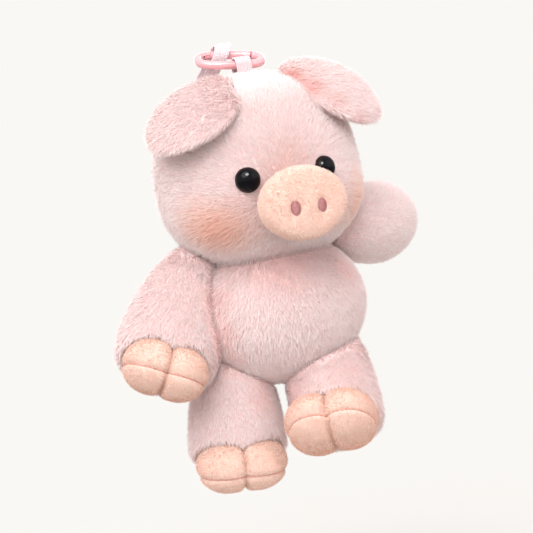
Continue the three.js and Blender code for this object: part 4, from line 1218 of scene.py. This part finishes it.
gateSpring = fixNormals(tubeAlong("gateSpringCoil", ringPlace(coilPath), coilLook["wire"], coilLook["sides"],
                                  frameUp=ringPlace(along) - ringMiddle))

s = Shade("candyPaint")
p = s.place()
mottle = s.noise(p, 260.0, 2.0)
fine = s.noise(p, 1400.0, 2.0)
candyPaint = s.surface({"Base Color": s.mix(mottle, rgb(242, 172, 177), rgb(247, 187, 190)),
                        "Roughness": 0.16 + 0.1 * fine, "Normal": s.bump(mottle, 0.00006, 0.6),
                        "Coat Weight": 0.8, "Coat Roughness": 0.06})
springSteel = plainMaterial("springSteel", rgb(200, 202, 206), rgb(150, 152, 156), 3000.0, 0.00003, 0.3,
                            Metallic=1.0)
dress(ringBody, candyPaint, "ring", "paint", "ring_body")
dress(ringGate, candyPaint, "gate", "paint", "ring_gate")
dress(gatePin, springSteel, "ring", "steel", "gate_pin")
dress(gateSpring, springSteel, "gate", "steel", "gate_spring")
print("ring made")

# Hang tape: a ribbed strip folded over the ring's front arm
tapeLook = {"wide": 7.2, "thick": 0.9, "inner": 2.8, "foot": -4.9, "place": (2.0, 1.0, 185.4), "rib": 0.825,
            "relief": 0.09, "weft": 0.36, "weftRelief": 0.02, "pick": 0.3, "columns": 65, "archSteps": 60,
            "step": 0.16}
bandLook = {"edge": 0.04, "edgeLeast": 0.02, "backShift": (0.4, 0.3)}


def bandGrid(middle, normal, across, wide, thick, columns, relief):
    # closed section carried along a line: front face, edge, back face, edge; each face stands
    # (thick / 2 + relief(u, v)) * edge off the line, with edge a quarter circle at both sides
    u = np.linspace(-0.5, 0.5, columns)
    uu, vv = np.meshgrid(u * wide, runAlong(middle))
    rim, least = bandLook["edge"], bandLook["edgeLeast"]
    edge = np.sqrt(np.clip(1 - np.clip((np.abs(u) - 0.5 + rim) / rim, 0, 1) ** 2, least, 1))
    shiftAcross, shiftAlong = bandLook["backShift"]
    front = thick / 2 * edge + relief(uu, vv) * edge
    back = thick / 2 * edge + relief(uu + shiftAcross, vv + shiftAlong) * edge
    one = middle[:, None] + uu[..., None] * across + front[..., None] * normal[:, None]
    two = middle[:, None] + uu[..., None] * across - back[..., None] * normal[:, None]
    grid = np.concatenate([one, two[:, ::-1]], 1)
    uv = np.concatenate([np.stack([uu, vv], -1), np.stack([uu[:, ::-1], vv], -1)], 1)
    return grid, uv


def bandObject(name, grid, uv, closed):
    # the band's rows joined by quads, with its uv in millimetres across and along
    faces = bandFaces(*grid.shape[:2], closed)
    return fixNormals(meshObject(name, toFrame(grid.reshape(-1, 3)), faces, uv.reshape(-1, 2)))


def resample(path, step):
    # the same line with points one step apart
    run = runAlong(path)
    even = np.linspace(0, run[-1], max(int(run[-1] / step), 4))
    return np.stack([np.interp(even, run, path[:, c]) for c in range(path.shape[1])], -1)


middleRadius = tapeLook["inner"] + tapeLook["thick"] / 2
turn = np.linspace(0, np.pi, tapeLook["archSteps"])
arch = np.stack([0 * turn, middleRadius * np.cos(turn), middleRadius * np.sin(turn)], -1)
feet = [np.array([[0, y, tapeLook["foot"]]]) for y in (middleRadius, -middleRadius)]
tapePath = resample(np.concatenate([feet[0], arch, feet[1]]), tapeLook["step"])
tangent = unit(np.gradient(tapePath, axis=0))


def twill(u, v):
    # ribs along the tape: relief (1 + cos(2 pi u / rib)) / 2, and a faint weft across them
    ribs = tapeLook["relief"] * (0.5 + 0.5 * np.cos(2 * np.pi * u / tapeLook["rib"]))
    return ribs + tapeLook["weftRelief"] * np.sin(2 * np.pi * v / tapeLook["weft"])


grid, uv = bandGrid(tapePath, np.cross(tangent, xAxis), xAxis, tapeLook["wide"],
                    tapeLook["thick"] - 2 * tapeLook["relief"], tapeLook["columns"], twill)
grid = (grid + np.array(tapeLook["place"])) @ headTurn.T + headPlace
hangTape = bandObject("hangTapeFold", grid, uv, False)

s = Shade("ribbedTape")
u, v = s.weave()
rib = 0.5 + 0.5 * (u * (2 * np.pi / tapeLook["rib"]) + np.pi / 2).wave()
pick = 0.5 + 0.5 * (v * (2 * np.pi / tapeLook["pick"])).wave()
fuzz = s.noise(s.place(), 2600.0, 3.0)
tapeColour = s.mix(rib * 0.7 + pick * 0.2, rgb(228, 192, 196), rgb(247, 228, 229))
ribbedTape = s.surface({"Base Color": s.mix(fuzz * 0.25, tapeColour, rgb(255, 240, 240)), "Roughness": 0.8,
                        "Normal": s.bump(pick * 0.5 + fuzz * 0.5, 0.00012), "Sheen Weight": 0.2})
dress(hangTape, ribbedTape, "head", "webbing", "hang_tape")

# Strap: a knitted band round the ring's rear arm, down behind the head
strapLook = {"wide": 7.6, "thick": 1.3, "offset": -4.4, "clearance": 1.8, "pinch": 0.6, "pinchRun": 3,
             "standOff": 2.0, "lean": 0.55, "shares": [0.83, 0.76, 0.69, 0.63], "lineSteps": 80,
             "arcSteps": 26, "step": 0.25, "columns": 49, "wale": 1.27, "course": 1.0, "relief": 0.24,
             "vDepth": 0.9, "waleRound": 1.7}


def headBack(x, height):
    # the back of the head is the mirror image of its front
    return -reach(headForm, x, height)


spot = ringPath(ringAngle(strapLook["offset"]), 3, 2)[0]
rear = (ringPlace(spot) - headPlace) @ headTurn
away = strapLook["standOff"] + strapLook["pinch"] + strapLook["thick"]
route = [rear[1:]]
for share in strapLook["shares"]:
    height = headForm.low + share * (headForm.high - headForm.low)
    x = rear[0] - strapLook["lean"] * (rear[2] - height) + strapLook["wide"] / 2
    slope = headBack(x, height + away) - headBack(x, height - away)
    route.append(np.array([headBack(x, height), height]) + away * unit(np.array([2 * away, -slope])))
route = np.array(route)
n = np.linspace(0, 1, strapLook["lineSteps"])
line = np.stack([smoothShares(route[:, 0], n), smoothShares(route[:, 1], n)], -1)
tangent = unit(np.gradient(line, axis=0))
normal = np.stack([-tangent[:, 1], tangent[:, 0]], -1)
archRadius = ringLook["wire"] + strapLook["clearance"]
ease = np.minimum(1, n * strapLook["pinchRun"])
half = archRadius + (strapLook["pinch"] - archRadius) * ease**2 * (3 - 2 * ease) + strapLook["thick"] / 2
left, right = line + normal * half[:, None], (line - normal * half[:, None])[::-1]


def endArc(centre, start, radius):
    # half a turn round the centre, from the start
    steps = strapLook["arcSteps"]
    first = np.arctan2(start[1] - centre[1], start[0] - centre[0])
    angle = first - np.pi * np.arange(1, steps) / steps
    return centre + radius * np.stack([np.cos(angle), np.sin(angle)], -1)


loop = np.concatenate([left, endArc(line[-1], left[-1], half[-1]), right,
                       endArc(line[0], right[-1], half[0]), left[:1]])
loop = resample(loop, strapLook["step"])[:-1]
loop = np.stack([0 * loop[:, 0], loop[:, 0], loop[:, 1]], -1)
tangent = unit(np.roll(loop, -1, 0) - np.roll(loop, 1, 0))


def knit(u, v):
    # V stitches: relief (1 + cos(2 pi (v / course + vDepth w))) / 2 (1 - (waleRound w)^2),
    # with w the share of a wale away from its middle
    w = np.abs(((u / strapLook["wale"]) % 1) - 0.5)
    stitches = 0.5 + 0.5 * np.cos(2 * np.pi * (v / strapLook["course"] + strapLook["vDepth"] * w))
    return strapLook["relief"] * stitches * (1 - (strapLook["waleRound"] * w) ** 2)


grid, uv = bandGrid(loop, np.cross(tangent, xAxis), xAxis, strapLook["wide"],
                    strapLook["thick"] - 2 * strapLook["relief"], strapLook["columns"], knit)
aside = grid[..., :1] + rear[0] + strapLook["lean"] * (grid[..., 2:] - rear[2])  # it leans as it hangs
grid = np.concatenate([aside, grid[..., 1:]], -1)
knitStrap = bandObject("knitStrap", grid @ headTurn.T + headPlace, uv, True)

s = Shade("knitYarn")
fuzz = s.noise(s.place(), 2200.0, 3.0)
yarn = 0.5 + 0.5 * (s.weave()[1] * (2 * np.pi / strapLook["course"])).wave()
yarnColour = s.mix(fuzz * 0.6 + yarn * 0.2, rgb(226, 205, 209), rgb(247, 236, 238))
knitYarn = s.surface({"Base Color": yarnColour, "Roughness": 0.85, "Normal": s.bump(fuzz, 0.0002),
                      "Sheen Weight": 0.25})
dress(knitStrap, knitYarn, "strap", "webbing", "strap")
print("tape and strap made")

# Stuffing: a lumpy wad inside each cover
waddingLook = {"around": 56, "rings": 40, "depth": 5.6, "muzzleDepth": 3.4, "clear": 1.8, "apart": 1.4,
               "lumps": 0.5, "lumpSize": 9.0}


def wad(name, form, depth, near, body, node, hoof=None):
    # the form drawn in by depth, roughened by noise, and pressed clear of its neighbours
    look = waddingLook
    grid = ringGrid(form, look["around"], look["rings"], -depth)
    flat = grid.reshape(-1, 3)
    lumps = look["lumps"] * softNoise(flat, look["lumpSize"], 61)[:, None]
    flat = flat + lumps * gridNormals(grid).reshape(-1, 3)
    if hoof:
        if body.startswith("leg"):
            flat = slidOut(flat, bodyForm, form.turn @ np.array([0, 0, -1.0]), look["clear"])
        flat = form.world(leaveHoof(form.toLocal(flat), hoof, look["clear"]))
        flat = partThighs(body, flat, look["clear"] + look["apart"])
    for other in near:
        flat = other.pressed(flat, look["clear"])
    obj = fixNormals(closedSkin(name, flat.reshape(grid.shape)))
    dress(obj, wadding, body, "wadding", node)


s = Shade("fibreWadding")
p = s.place()
fibres = s.noise(p, 700.0, 4.0, 0.7)
wadding = s.surface({"Base Color": s.mix(fibres, rgb(222, 220, 214), rgb(250, 249, 246)), "Roughness": 0.95,
                     "Normal": s.bump(fibres, 0.001)})
wad("headWad", headForm, waddingLook["depth"], [], "head", "head_filling")
wad("muzzleWad", muzzleForm, waddingLook["muzzleDepth"], [headForm], "head", "muzzle_filling")
wad("bodyWad", bodyForm, waddingLook["depth"], [headForm], "torso", "body_filling")
for name, (form, hoof) in limbs.items():
    kind, sideName = name.split("_")
    wad(f"wad_{name}", form, waddingLook["depth"], limbNeighbours(name), name,
        f"{kind}_filling_{sideName}", hoof)
nylon = plainMaterial("milkyNylon", rgb(236, 236, 232), rgb(214, 214, 208), 900.0, 0.00005, 0.4)
for name in ("eye_washer_right", "eye_washer_left"):
    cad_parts[name].data.materials.clear()
    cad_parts[name].data.materials.append(nylon)
print("stuffing made")

# Camera and lights
viewLook = {"azimuth": -8.0, "elevation": 4.0, "roll": 10.0, "target": (-0.004748, -0.001394, -0.0888),
            "distance": 0.65, "lens": 99.8}
az, el, ro = np.radians([viewLook["azimuth"], viewLook["elevation"], viewLook["roll"]])
back = np.array([np.sin(az) * np.cos(el), -np.cos(az) * np.cos(el), np.sin(el)])
right = np.array([np.cos(az), np.sin(az), 0])
up = np.cross(back, right)
rightRolled, upRolled = right * np.cos(ro) - up * np.sin(ro), right * np.sin(ro) + up * np.cos(ro)
camera = bpy.data.objects.new("camera", bpy.data.cameras.new("camera"))
camera.data.lens, camera.data.sensor_width = viewLook["lens"], 36.0
camera.data.clip_start, camera.data.clip_end = 0.01, 20.0
spin = Matrix(np.stack([rightRolled, upRolled, back], -1).tolist()).to_4x4()
eyePoint = Vector(viewLook["target"]) + viewLook["distance"] * Vector(back)
camera.matrix_world = Matrix.Translation(eyePoint) @ spin
bpy.context.scene.collection.objects.link(camera)
bpy.context.scene.camera = camera

# lamps: place, width and power; the glint shows in gloss only
lightLook = {
    "key": ((-0.3, -0.7, 0.64), 1.0, 9.0), "fill": ((0.8, -0.6, 0.3), 1.0, 1.7),
    "rim": ((0.2, 0.95, 0.1), 0.9, 3.0), "glint": ((-0.08, -0.8, 0.62), 0.4, 14.0),
}
lookAt = Vector((0, 0, -0.08))
for name, (place, size, power) in lightLook.items():
    lamp = bpy.data.lights.new(name, "AREA")
    lamp.shape, lamp.size, lamp.energy = "DISK", size, power
    obj = bpy.data.objects.new(name, lamp)
    aim = (Vector(place) - lookAt).to_track_quat("Z", "Y").to_matrix().to_4x4()
    obj.matrix_world = Matrix.Translation(place) @ aim
    obj.visible_diffuse = name != "glint"
    bpy.context.scene.collection.objects.link(obj)

# World: a soft light for the pig, and pale paper for the camera, gloss and glass
worldLook = {"light": (1.0, 0.965, 0.985, 1), "strength": 0.92, "paper": rgb(250, 248, 244)}
world = bpy.data.worlds.new("studio")
bpy.context.scene.world = world
s = Shade("studio", world)
ray = s.node("ShaderNodeLightPath")
seen = ray["Is Camera Ray"].high(ray["Is Glossy Ray"]).high(ray["Is Transmission Ray"])
soft = s.node("ShaderNodeBackground", {}, {"Color": worldLook["light"], "Strength": worldLook["strength"]})
pale = s.node("ShaderNodeBackground", {}, {"Color": worldLook["paper"], "Strength": 1.0})
mixed = s.node("ShaderNodeMixShader", {}, {0: seen, 1: soft["Background"], 2: pale["Background"]})["Shader"]
s.node("ShaderNodeOutputWorld", {}, {"Surface": mixed})

# Floor: matte under the pig, fading to glowing paper; the camera sees the paper at full strength
floorLook = {"height": -0.262, "half": 3.0, "fade": 0.22, "matte": rgb(224, 221, 217), "dim": 0.45,
             "mottle": 0.03, "mottleScale": 40.0}
corner = np.array([[-1, -1, 0], [1, -1, 0], [1, 1, 0], [-1, 1, 0]]) * floorLook["half"]
corner[:, 2] = floorLook["height"]
floor = meshObject("floor", corner, [[0, 1, 2, 3]])
s = Shade("paperFloor")
p = s.place()
middle = (0, 0, floorLook["height"])
away = s.node("ShaderNodeVectorMath", {"operation": "DISTANCE"}, {0: p, 1: middle})["Value"]
share = 2.718 ** (0 - (away / floorLook["fade"]) ** 2.0)
share = share * (1 - floorLook["mottle"] + floorLook["mottle"] * s.noise(p, floorLook["mottleScale"]))
glow, dim = [s.node("ShaderNodeEmission", {}, {"Color": worldLook["paper"], "Strength": strength})["Emission"]
             for strength in (1.0, floorLook["dim"])]
matte = s.node("ShaderNodeBsdfDiffuse", {}, {"Color": floorLook["matte"]})["BSDF"]
seen = s.node("ShaderNodeLightPath")["Is Camera Ray"]
paper = s.node("ShaderNodeMixShader", {}, {0: seen, 1: dim, 2: glow})["Shader"]
mixed = s.node("ShaderNodeMixShader", {}, {0: share, 1: paper, 2: matte})["Shader"]
s.node("ShaderNodeOutputMaterial", {}, {"Surface": mixed})
floor.data.materials.append(s.material)
print("camera, lights and floor made")

bpy.context.scene.view_settings.view_transform = "Standard"
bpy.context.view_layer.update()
